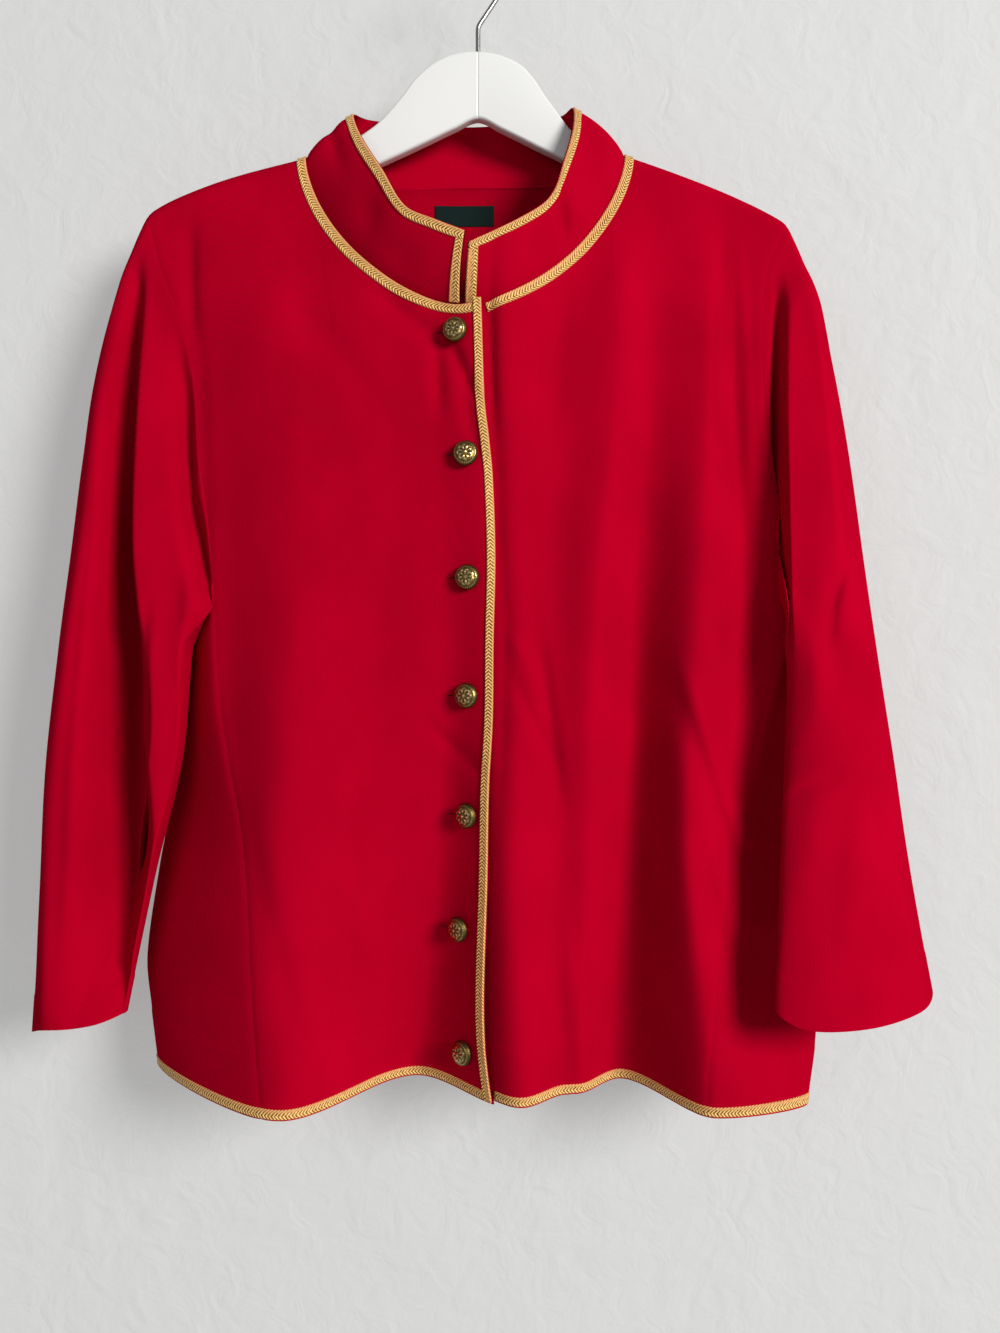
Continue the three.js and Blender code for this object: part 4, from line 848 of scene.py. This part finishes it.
def braid(name, p, flip=True, on=CLOTH):
    """A woven strip on the cloth's outer face: thick between two corded edges, thin at its rim."""
    out = normals(p, flip)
    v = np.abs(np.linspace(-1, 1, p.shape[0]))[:, None, None]
    crown = BRAID_THICK * (0.72 + 0.28 * bell((v - 0.78) / 0.16)) * (1 - 0.75 * v ** 12)
    base = p + out * (on / 2 + CLOTH_GAP)
    return dress(wall(name, base + out * crown, base, flip), name)


def neck_braid():
    low = edge_x(NECK_CORNER_Z)
    offsets = np.linspace(EDGE_INSET + BRAID_WIDTH, EDGE_INSET, BRAID_ACROSS)
    right_x = low - FRONT_BRAID_WIDTH - EDGE_INSET - BRAID_JOIN["right"]
    return neck_strip(right_x, low + EDGE_INSET + BRAID_JOIN["neck_left"], offsets, BRAID_ALONG["neck"])


def front_braid():
    """Down the front edge; its top end comes forward over the neck's braid."""
    top = front_neck_z(np.array(0.0)) + BRAID_JOIN["front_top"]
    w, across = np.meshgrid(steps(BRAID_ALONG["front"]), np.linspace(FRONT_BRAID_WIDTH, 0, BRAID_ACROSS))
    z = mix(HEM_Z + EDGE_INSET, top, w)
    p = lap_shift(body_at(edge_x(z) - EDGE_INSET - across, z, -1), 1)
    p[..., 1] -= FRONT_TOP["forward"] * smooth((z - top + FRONT_TOP["reach"]) / FRONT_TOP["fade"])
    return p


def hem_braid():
    """Round the hem from the right front's edge to the left front, piece by piece."""
    up = np.linspace(EDGE_INSET, EDGE_INSET + BRAID_WIDTH, BRAID_ACROSS)[:, None]

    def across(start, end, count, over=0):
        p = body_at(mix(start, end, steps(count))[None, :] + 0 * up, HEM_Z + up, -1 if over else 1)
        return lap_shift(p, over) if over else p

    def round_side(side, q):
        return side_point(side, q[None, :] + 0 * up, up / (UNDERARM[side]["front"] - HEM_Z) + 0 * q[None, :])

    seam_x = {name: seam["x"][0] for name, seam in SEAMS.items()}
    edge = edge_x(HEM_Z)
    parts = [
        across(edge - FRONT_BRAID_WIDTH - EDGE_INSET - BRAID_JOIN["right"], seam_x["front_right"], 160, 1),
        round_side("right", steps(90)),
        across(seam_x["back_right"], seam_x["back_left"], 280),
        round_side("left", steps(90)[::-1]),
        across(seam_x["front_left"], edge + EDGE_INSET + BRAID_JOIN["hem_left"], 140, -1),
    ]
    whole = np.concatenate([parts[0]] + [part[:, 1:] for part in parts[1:]], axis=1)
    return np.stack([softened(row, 6) for row in whole])


def collar_strip(t0, t1, h0, h1, columns, rows):
    return collar_point(*np.meshgrid(mix(t0, t1, steps(columns)), mix(h0, h1, steps(rows))))


def collar_end(t0, t1):
    return collar_strip(t0, t1, 0.02, COLLAR_BRAID_FROM, 14, 60).transpose(1, 0, 2)


def on_front(x, z):
    return lap_shift(body_at(x, z, -1), 1)


def front_normal(x, z):
    p = body_at(x, z, -1)
    return unit(np.cross(body_at(x + 4, z, -1) - p, body_at(x, z + 4, -1) - p))


def frame_of(out):
    """Two unit vectors square to out: across the front and up it."""
    across = unit(np.cross([0.0, 0.0, 1.0], out))
    return across, np.cross(out, across)


def button_profile():
    """The profile from the shank's foot to the dome's top: radius, height, and which points are dome."""
    full, shank, long, rim = (BUTTON[key] for key in ("radius", "shank", "shank_length", "rim"))
    dome_r = full * np.sin(np.linspace(0, 1, BUTTON["rings"])[::-1] * math.pi / 2)
    dome_h = long + rim + (BUTTON["dome"] - rim) * np.sqrt(np.maximum(0, 1 - (dome_r / full) ** 2)) ** 0.9
    base_r = np.array([0.01, shank, shank, 0.86 * full, 0.97 * full])
    base_h = np.array([0.0, 0.0, long, long, long + 0.3])
    radius, height = np.concatenate([base_r, dome_r]), np.concatenate([base_h, dome_h])
    return radius, height, np.arange(len(radius)) >= len(base_r)


def button_relief(a, turn, share):
    """A rosette of petals and leaves round a boss, inside a roped ring; share is 1 at the button's rim."""
    petals = np.cos(4 * (a + turn)) ** 2 * bell((share - 0.42) / 0.17)
    leaves = np.cos(4 * (a + turn) + math.pi / 2) ** 2 * bell((share - 0.6) / 0.09)
    rope = (0.6 + 0.4 * np.cos(30 * a + 20 * share)) * bell((share - 0.83) / 0.06)
    return petals + 0.8 * leaves + 0.8 * rope + 1.2 * bell(share / 0.13)


def button(index):
    """A domed button: a profile turned about its shank, with its relief raised on the dome."""
    x, z, turn = (BUTTONS[key][index] for key in ("x", "z", "turn"))
    out = front_normal(x, z)
    across, up = frame_of(out)
    seat = on_front(x, z) + out * (CLOTH / 2)
    radius, height, on_dome = button_profile()
    a, r = np.meshgrid(once_round(BUTTON["around"]), radius)
    relief = np.where(on_dome[:, None], button_relief(a, turn, r / BUTTON["radius"]), 0.0)
    h = height[:, None] + BUTTON["relief"] * relief
    aside = (r * np.cos(a))[..., None] * across + (r * np.sin(a))[..., None] * up
    places = seat + aside + h[..., None] * out
    name = f"button_{index + 1}"
    return dress(make_rings(name, places, (a * 10, r), {"relief": relief.ravel()}), name)


def tube(name, path, radius, around=12, closed=False, side=(0.0, 1.0, 0.0)):
    """A round tube along a path of points; side is a direction that the path never runs along."""
    ahead = unit(np.roll(path, -1, 0) - np.roll(path, 1, 0) if closed else np.gradient(path, axis=0))
    first = unit(np.cross(ahead, np.asarray(side)))
    second = np.cross(ahead, first)
    a = once_round(around)
    spokes = np.cos(a)[:, None] * first[:, None] + np.sin(a)[:, None] * second[:, None]
    rings = path[:, None] + radius * spokes
    if closed:
        rings = np.concatenate([rings, rings[:1]])
    else:
        rings = np.concatenate([path[:1, None] + 0 * rings[:1], rings, path[-1:, None] + 0 * rings[-1:]])
    return make_rings(name, rings, (np.repeat(a[None] * radius, len(rings), 0), lengths(rings, 0)))


def buttonhole(index):
    """A worked buttonhole: a ring of thread round an opening, most of it under the button. The opening is
    painted shade: a thin dark sheet laid on the cloth, not a cut.
    """
    x, z = BUTTONS["x"][index] - BUTTONHOLE["aside"], BUTTONS["z"][index]
    half, reach = BUTTONHOLE["half"], BUTTONHOLE["reach"]
    a = once_round(64)
    px = x + reach * np.sign(np.cos(a)) * np.abs(np.cos(a)) ** 0.35
    pz = z + half * np.sign(np.sin(a)) * np.abs(np.sin(a)) ** 0.7
    out = front_normal(x, z)
    path = on_front(px, pz) + out * (CLOTH / 2 + 0.12)
    ring = tube(f"buttonhole_{index + 1}", path, BUTTONHOLE["thread"], 8, closed=True, side=(0.1, 1.0, 0.05))
    u, v = np.meshgrid(np.linspace(-reach, reach, 20), np.linspace(-0.8, 0.8, 3))
    slit_shade = on_front(x + u, z + v) + out * (CLOTH / 2 + 0.06)
    # The opening's darkness is painted shade: a near-black sheet just above the cloth where the gap would
    # lie in shadow
    dark = wall(f"slit_{index + 1}", slit_shade + out * 0.05, slit_shade, False)
    return dress(ring, None), dress(dark, None)


def label():
    """A bare woven label on the inside of the back, thinner at its edges."""
    u, v = np.meshgrid(steps(60) - 0.5, steps(24) - 0.5)
    p = body_at(LABEL["x"] + u * LABEL["width"], LABEL["z"] + v * LABEL["height"], 1)
    inward = normals(p, True)
    inward *= -np.sign(inward[..., 1:2])
    edge = np.maximum(np.abs(2 * u) ** 30, np.abs(2 * v) ** 14)[..., None]
    base = p + inward * (CLOTH / 2 + CLOTH_GAP)
    piece = wall("label", base + inward * (LABEL["thick"] * (1 - 0.6 * edge)), base, False)
    return dress(piece, "label")


def hanger():
    """The wooden hanger: rounded oblong sections from one end to the other, with a groove at the middle."""
    x = np.union1d(np.linspace(HANGER["x"][0], HANGER["x"][-1], 260), np.linspace(-1.6, 1.6, 17))
    x = x[:, None]
    top, low, half = (look(HANGER, key, x, by="x") for key in ("top", "low", "half"))
    half = half - GROOVE["deep"] * bell(x / GROOVE["half"])
    a = once_round(40)[None]
    r = np.minimum(HANGER_CORNER, 0.8 * half)
    y = np.sign(np.cos(a)) * np.maximum(half - r, 0) + r * np.cos(a)
    z = (top + low) / 2 + np.sign(np.sin(a)) * np.maximum((top - low) / 2 - r, 0) + r * np.sin(a)
    rings = np.stack([x + 0 * a, y, z], -1)
    ends = [rings[[k]] * 0 + rings[[k]].mean(axis=1, keepdims=True) for k in (0, -1)]
    rings = np.concatenate([ends[0], rings, ends[1]])
    piece = make_rings("hanger", rings, (rings[..., 0], rings[..., 2]))
    piece.data.set_sharp_from_angle(angle=math.radians(50))
    return dress(piece, "hanger")


def hook():
    """The wire: a straight stem, a slanting length that meets the loop, and the loop to its plain end."""
    loop = HOOK["inner"] + HOOK["wire"]
    slant = math.asin(loop / (-HOOK["inner"] - HOOK["bend_z"]))
    a = np.linspace(-slant, math.radians(HOOK["end"]), 120)
    arc = np.array([0.0, -HOOK["inner"]]) + loop * np.stack([np.cos(a), np.sin(a)], -1)
    bend = np.array([0.0, HOOK["bend_z"]])
    stem = np.linspace([0.0, HOOK["foot_z"]], bend, 30)
    line = np.concatenate([stem, np.linspace(bend, arc[0], 40)[1:], arc[1:]])
    line = softened(evenly(line, 300), 26)
    path = np.stack([line[:, 0], 0 * line[:, 0], line[:, 1]], -1)
    return dress(tube("hook", path, HOOK["wire"], 20), "hook")


def build_cloth():
    """The ten sheets, each as a wall of cloth under the name of its CAD node."""
    made = {}

    def add_sheet(name, p, flip, seams, turn=0.0, thick=CLOTH):
        made[name] = cloth(name, p, flip=flip, thick=thick, seams=seams, turn=turn)

    u, w = crowded_grid("front")
    for name, over in (("front_right", 1), ("front_left", -1)):
        add_sheet(name, lap_shift(panel(front_edges(over), -1, u, w), over), over > 0, "end top", HEM_TURN)
    add_sheet("back", panel(back_edges(), 1, *crowded_grid("back")), True, "start end top", HEM_TURN)
    for side in ("right", "left"):
        p = side_point(side, *np.meshgrid(steps(GRID["side"][0]), toward_edges(GRID["side"][1])))
        add_sheet("side_" + side, p, side == "right", "start end top", HEM_TURN)
        for part, (first, last, columns) in SLEEVE_PARTS.items():
            p = shaped_sleeve(side, *np.meshgrid(mix(first, last, steps(columns)), steps(SLEEVE_ROWS)[::-1]))
            add_sheet(f"sleeve_{side}_{part}", p, side == "left", "top", CUFF_TURN)
    add_sheet("collar_stand", collar_strip(0, 1, 0, 1, *GRID["collar"]), True, "low", thick=COLLAR_THICK)
    return made


# Materials
def material(name, **values):
    """A Principled material with uniform values set on the shader's own sockets."""
    made = bpy.data.materials.new(name)
    made.use_nodes = True
    shader = made.node_tree.nodes["Principled BSDF"]
    for key, value in values.items():
        shader.inputs[key.replace("_", " ")].default_value = value
    return made, made.node_tree, shader


def node(tree, kind, inputs=(), **settings):
    """A node with its settings, and values or links for its inputs by name or number."""
    new = tree.nodes.new(kind)
    for key, value in settings.items():
        setattr(new, key, value)
    for key, value in dict(inputs).items():
        if isinstance(value, bpy.types.NodeSocket):
            tree.links.new(value, new.inputs[key])
        else:
            new.inputs[key].default_value = value
    return new


def ramp(tree, fac, *stops):
    """A colour ramp: stops of position and colour, or position and grey."""
    new = node(tree, "ShaderNodeValToRGB", {"Fac": fac})
    elements = new.color_ramp.elements
    while len(elements) < len(stops):
        elements.new(0.5)
    for element, (position, colour) in zip(elements, stops):
        element.position = position
        element.color = (*colour, 1.0) if isinstance(colour, tuple) else (colour, colour, colour, 1.0)
    return new.outputs["Color"]


def maths(tree, operation, a, b=0.5):
    return node(tree, "ShaderNodeMath", {0: a, 1: b}, operation=operation).outputs[0]


def multiply(tree, a, b):
    return maths(tree, "MULTIPLY", a, b)


def weighted(tree, a, share_a, b, share_b):
    """Two values, each times its share, added up."""
    return maths(tree, "ADD", multiply(tree, a, share_a), multiply(tree, b, share_b))


def coordinates(tree, kind="UV"):
    return node(tree, "ShaderNodeTexCoord").outputs[kind]


def bump(tree, shader, height, distance, strength=1.0):
    made = node(tree, "ShaderNodeBump", {"Height": height, "Distance": distance, "Strength": strength})
    tree.links.new(made.outputs["Normal"], shader.inputs["Normal"])


def scaled(tree, vector, x, y, z=1.0):
    return node(tree, "ShaderNodeMapping", {"Vector": vector, "Scale": (x, y, z)}).outputs["Vector"]


def noise(tree, vector, scale, detail=2.0, distortion=0.0):
    inputs = {"Vector": vector, "Scale": scale, "Detail": detail, "Distortion": distortion}
    return node(tree, "ShaderNodeTexNoise", inputs).outputs["Fac"]


def wave(tree, vector, scale, direction="X", distortion=0.0):
    inputs = {"Vector": vector, "Scale": scale, "Distortion": distortion}
    return node(tree, "ShaderNodeTexWave", inputs, bands_direction=direction).outputs["Fac"]


def weave_group():
    """Crossed threads as a group: how close they are along and up the cloth gives their height."""
    group = bpy.data.node_groups.new("weave", "ShaderNodeTree")
    for name, kind in (("Vector", "Vector"), ("Across", "Float"), ("Up", "Float")):
        group.interface.new_socket(name, in_out="INPUT", socket_type="NodeSocket" + kind)
    group.interface.new_socket("Height", in_out="OUTPUT", socket_type="NodeSocketFloat")
    given = group.nodes.new("NodeGroupInput").outputs
    across = wave(group, given["Vector"], given["Across"], "X")
    up = wave(group, given["Vector"], given["Up"], "Y")
    group.links.new(multiply(group, across, up), group.nodes.new("NodeGroupOutput").inputs["Height"])
    return group


def woven_height(tree, vector, across, up):
    group = bpy.data.node_groups.get("weave") or weave_group()
    inputs = {"Vector": vector, "Across": across, "Up": up}
    return node(tree, "ShaderNodeGroup", inputs, node_tree=group).outputs["Height"]


def cloth_material():
    """A fine double knit: wales along the cloth, a soft nap and faint unevenness of the dye."""
    made, tree, shader = material("cloth", Roughness=0.9, Specular_IOR_Level=0.0, Sheen_Weight=0.05,
                                  Sheen_Roughness=0.5, Sheen_Tint=(0.8, 0.01, 0.08, 1))
    at = coordinates(tree, "Object")
    stitches = woven_height(tree, coordinates(tree), 260.0, 300.0)
    nap = noise(tree, at, 1400.0, 3.0)
    patches = noise(tree, scaled(tree, at, 1, 1, 0.6), 22.0, 3.0)
    tone = weighted(tree, patches, 0.75, nap, 0.25)
    colour = ramp(tree, tone, (0.3, (0.355, 0.0001, 0.0125)), (0.7, (0.445, 0.0001, 0.0165)))
    tree.links.new(colour, shader.inputs["Base Color"])
    bump(tree, shader, weighted(tree, stitches, 0.6, nap, 0.9), 0.00028, 0.5)
    return made


def braid_material():
    """Metallic thread in a herringbone: slanting ribs turn back at the middle, between two plain cords."""
    made, tree, shader = material("braid", Roughness=0.5, Metallic=0.1, Specular_IOR_Level=0.4)
    cut = coordinates(tree)
    axes = node(tree, "ShaderNodeSeparateXYZ", {"Vector": cut}).outputs
    folded = maths(tree, "ABSOLUTE", maths(tree, "SUBTRACT", axes["Y"], 0.003))
    slanted = maths(tree, "ADD", axes["X"], multiply(tree, folded, 0.9))
    ribs = wave(tree, node(tree, "ShaderNodeCombineXYZ", {"X": slanted}).outputs[0], 135.0, "X", 0.6)
    tone = weighted(tree, ribs, 0.4, noise(tree, cut, 600.0), 0.6)
    stops = (0.3, (0.16, 0.04, 0.006)), (0.48, (0.72, 0.32, 0.07)), (0.66, (1.0, 0.7, 0.24))
    woven = ramp(tree, tone, *stops)
    cords = ramp(tree, multiply(tree, folded, 300.0), (0.62, 0.0), (0.76, 1.0))
    colours = {"Fac": multiply(tree, cords, 0.7), "Color1": woven, "Color2": (0.84, 0.38, 0.14, 1)}
    tree.links.new(node(tree, "ShaderNodeMixRGB", colours).outputs[0], shader.inputs["Base Color"])
    bump(tree, shader, tone, 0.001)
    return made


def brass_material():
    """Antiqued brass: dark in the hollows of the relief, rubbed bright on its high places."""
    made, tree, shader = material("brass", Metallic=1.0, Roughness=0.3)
    relief = node(tree, "ShaderNodeAttribute", attribute_name="relief").outputs["Fac"]
    at = coordinates(tree, "Object")
    worn = maths(tree, "ADD", relief, multiply(tree, noise(tree, at, 900.0, 4.0), 0.5))
    stops = (0.15, (0.05, 0.032, 0.009)), (0.6, (0.27, 0.185, 0.06)), (1.0, (0.66, 0.5, 0.23))
    tree.links.new(ramp(tree, worn, *stops), shader.inputs["Base Color"])
    tree.links.new(ramp(tree, worn, (0.2, 0.5), (0.9, 0.22)), shader.inputs["Roughness"])
    bump(tree, shader, noise(tree, at, 1500.0), 0.0002, 0.4)
    return made


def label_material():
    made, tree, shader = material("label_cloth", Roughness=0.7, Specular_IOR_Level=0.1)
    threads = woven_height(tree, coordinates(tree), 700.0, 500.0)
    colour = ramp(tree, threads, (0.1, (0.003, 0.011, 0.010)), (0.6, (0.007, 0.023, 0.02)))
    tree.links.new(colour, shader.inputs["Base Color"])
    bump(tree, shader, threads, 0.0001, 0.4)
    return made


def wood_material():
    """White paint over wood: a satin coat with the grain just showing through."""
    white = (0.8, 0.8, 0.78, 1)
    made, tree, shader = material("painted_wood", Roughness=0.38, Base_Color=white, Coat_Weight=0.15)
    grain = noise(tree, scaled(tree, coordinates(tree, "Object"), 0.12, 1, 1.6), 220.0, 4.0)
    bump(tree, shader, grain, 0.0003, 0.35)
    return made


def steel_material():
    """Bright wire, its roughness drawn out in fine lines along it."""
    made, tree, shader = material("steel", Metallic=1.0, Base_Color=(0.42, 0.41, 0.4, 1))
    drawn = noise(tree, scaled(tree, coordinates(tree), 900, 12), 2.0)
    tree.links.new(ramp(tree, drawn, (0.3, 0.2), (0.7, 0.34)), shader.inputs["Roughness"])
    return made


def wall_material():
    """Pale rough plaster, seen from the front alone: it lets a camera behind it through."""
    made, tree, shader = material("plaster", Roughness=0.85, Base_Color=(0.36, 0.36, 0.355, 1),
                                  Emission_Color=(0.94, 0.95, 0.94, 1), Emission_Strength=0.32)
    at = coordinates(tree, "Object")
    rough = weighted(tree, noise(tree, at, 9.0, 4.0, 0.8), 1.4, noise(tree, at, 38.0, 6.0, 1.2), 0.6)
    bump(tree, shader, rough, 0.008, 0.38)
    clear = tree.nodes.new("ShaderNodeBsdfTransparent")
    behind = tree.nodes.new("ShaderNodeNewGeometry").outputs["Backfacing"]
    both = node(tree, "ShaderNodeMixShader", {0: behind, 1: shader.outputs[0], 2: clear.outputs[0]})
    tree.links.new(both.outputs[0], tree.nodes["Material Output"].inputs["Surface"])
    return made


def paint(thing, material_made):
    thing.data.materials.clear()
    thing.data.materials.append(material_made)


def plane(name, corners):
    return make(name, np.array(corners) / MM, np.array([[0, 1, 2, 3]]))


def lamp(name, place_m, size, power, colour):
    """A round lamp turned towards the jacket's middle."""
    data = bpy.data.lights.new(name, "AREA")
    data.shape, data.size, data.energy, data.color = "DISK", size, power, colour
    thing = bpy.data.objects.new(name, data)
    thing.location = place_m
    away = np.array(place_m) - np.array(STAGE["aim"])
    pitch = math.atan2(math.hypot(away[0], away[1]), away[2])
    thing.rotation_euler = (pitch, 0, math.atan2(away[0], -away[1]))
    bpy.context.scene.collection.objects.link(thing)
    return thing


def build_stage():
    """The plaster wall, the floor, two lamps, the camera and the light of the room."""
    y, far, low, high = (STAGE[key] for key in ("wall_y", "reach", "floor_z", "wall_top"))
    backdrop = plane("backdrop", [(-far, y, low), (far, y, low), (far, y, high), (-far, y, high)])
    paint(backdrop, wall_material())
    near = y - STAGE["floor_depth"]
    floor = plane("floor", [(-far, near, low), (far, near, low), (far, y, low), (-far, y, low)])
    paint(floor, material("pale_floor", Base_Color=(0.5, 0.495, 0.485, 1), Roughness=0.6)[0])
    key = lamp("key", (3.3, -3.8, 0.9), 2.0, 292.0, (1.0, 0.99, 0.975))
    fill = lamp("fill", (-1.4, -3.6, 0.2), 2.2, 16.0, (0.97, 0.985, 1.0))
    camera = bpy.data.objects.new("camera", bpy.data.cameras.new("camera"))
    camera.data.lens = CAMERA["lens"]
    camera.data.sensor_width = CAMERA["sensor"]
    camera.location = (CAMERA["x"], CAMERA["y"], CAMERA["z"])
    camera.rotation_euler = (math.pi / 2, 0, 0)
    scene = bpy.context.scene
    scene.collection.objects.link(camera)
    scene.camera = camera
    scene.world = bpy.data.worlds.new("studio")
    scene.world.use_nodes = True
    background = scene.world.node_tree.nodes["Background"].inputs
    background["Color"].default_value = (0.93, 0.95, 1.0, 1)
    background["Strength"].default_value = 0.2
    scene.view_settings.view_transform = "Standard"


def main():
    looks = {"cloth": cloth_material(), "braid": braid_material(), "brass": brass_material()}
    for name, thing in build_cloth().items():
        dress(thing, name)
        paint(thing, looks["cloth"])
    end = COLLAR_BRAID_SHARE
    collar_top = collar_strip(0, 1, COLLAR_BRAID_FROM, 0.99, BRAID_ALONG["collar"], BRAID_ACROSS - 1)
    braids = [
        braid("braid_neck", neck_braid()),
        braid("braid_front", front_braid()),
        braid("braid_hem", hem_braid()),
        braid("braid_collar_top", collar_top, on=COLLAR_THICK),
        braid("braid_collar_right", collar_end(0, end), flip=False, on=COLLAR_THICK),
        braid("braid_collar_left", collar_end(1 - end, 1), flip=False, on=COLLAR_THICK),
    ]
    for strip in braids:
        paint(strip, looks["braid"])
    # Painted shade: a near-black colour for the sheet in each buttonhole's opening
    dark = material("slit_shade", Base_Color=(0.05, 0.0, 0.003, 1), Roughness=0.9)[0]
    for index in range(len(BUTTONS["x"])):
        paint(button(index), looks["brass"])
        ring, slit_shade = buttonhole(index)
        paint(ring, looks["cloth"])
        paint(slit_shade, dark)
    paint(label(), label_material())
    paint(hanger(), wood_material())
    paint(hook(), steel_material())
    build_stage()


main()
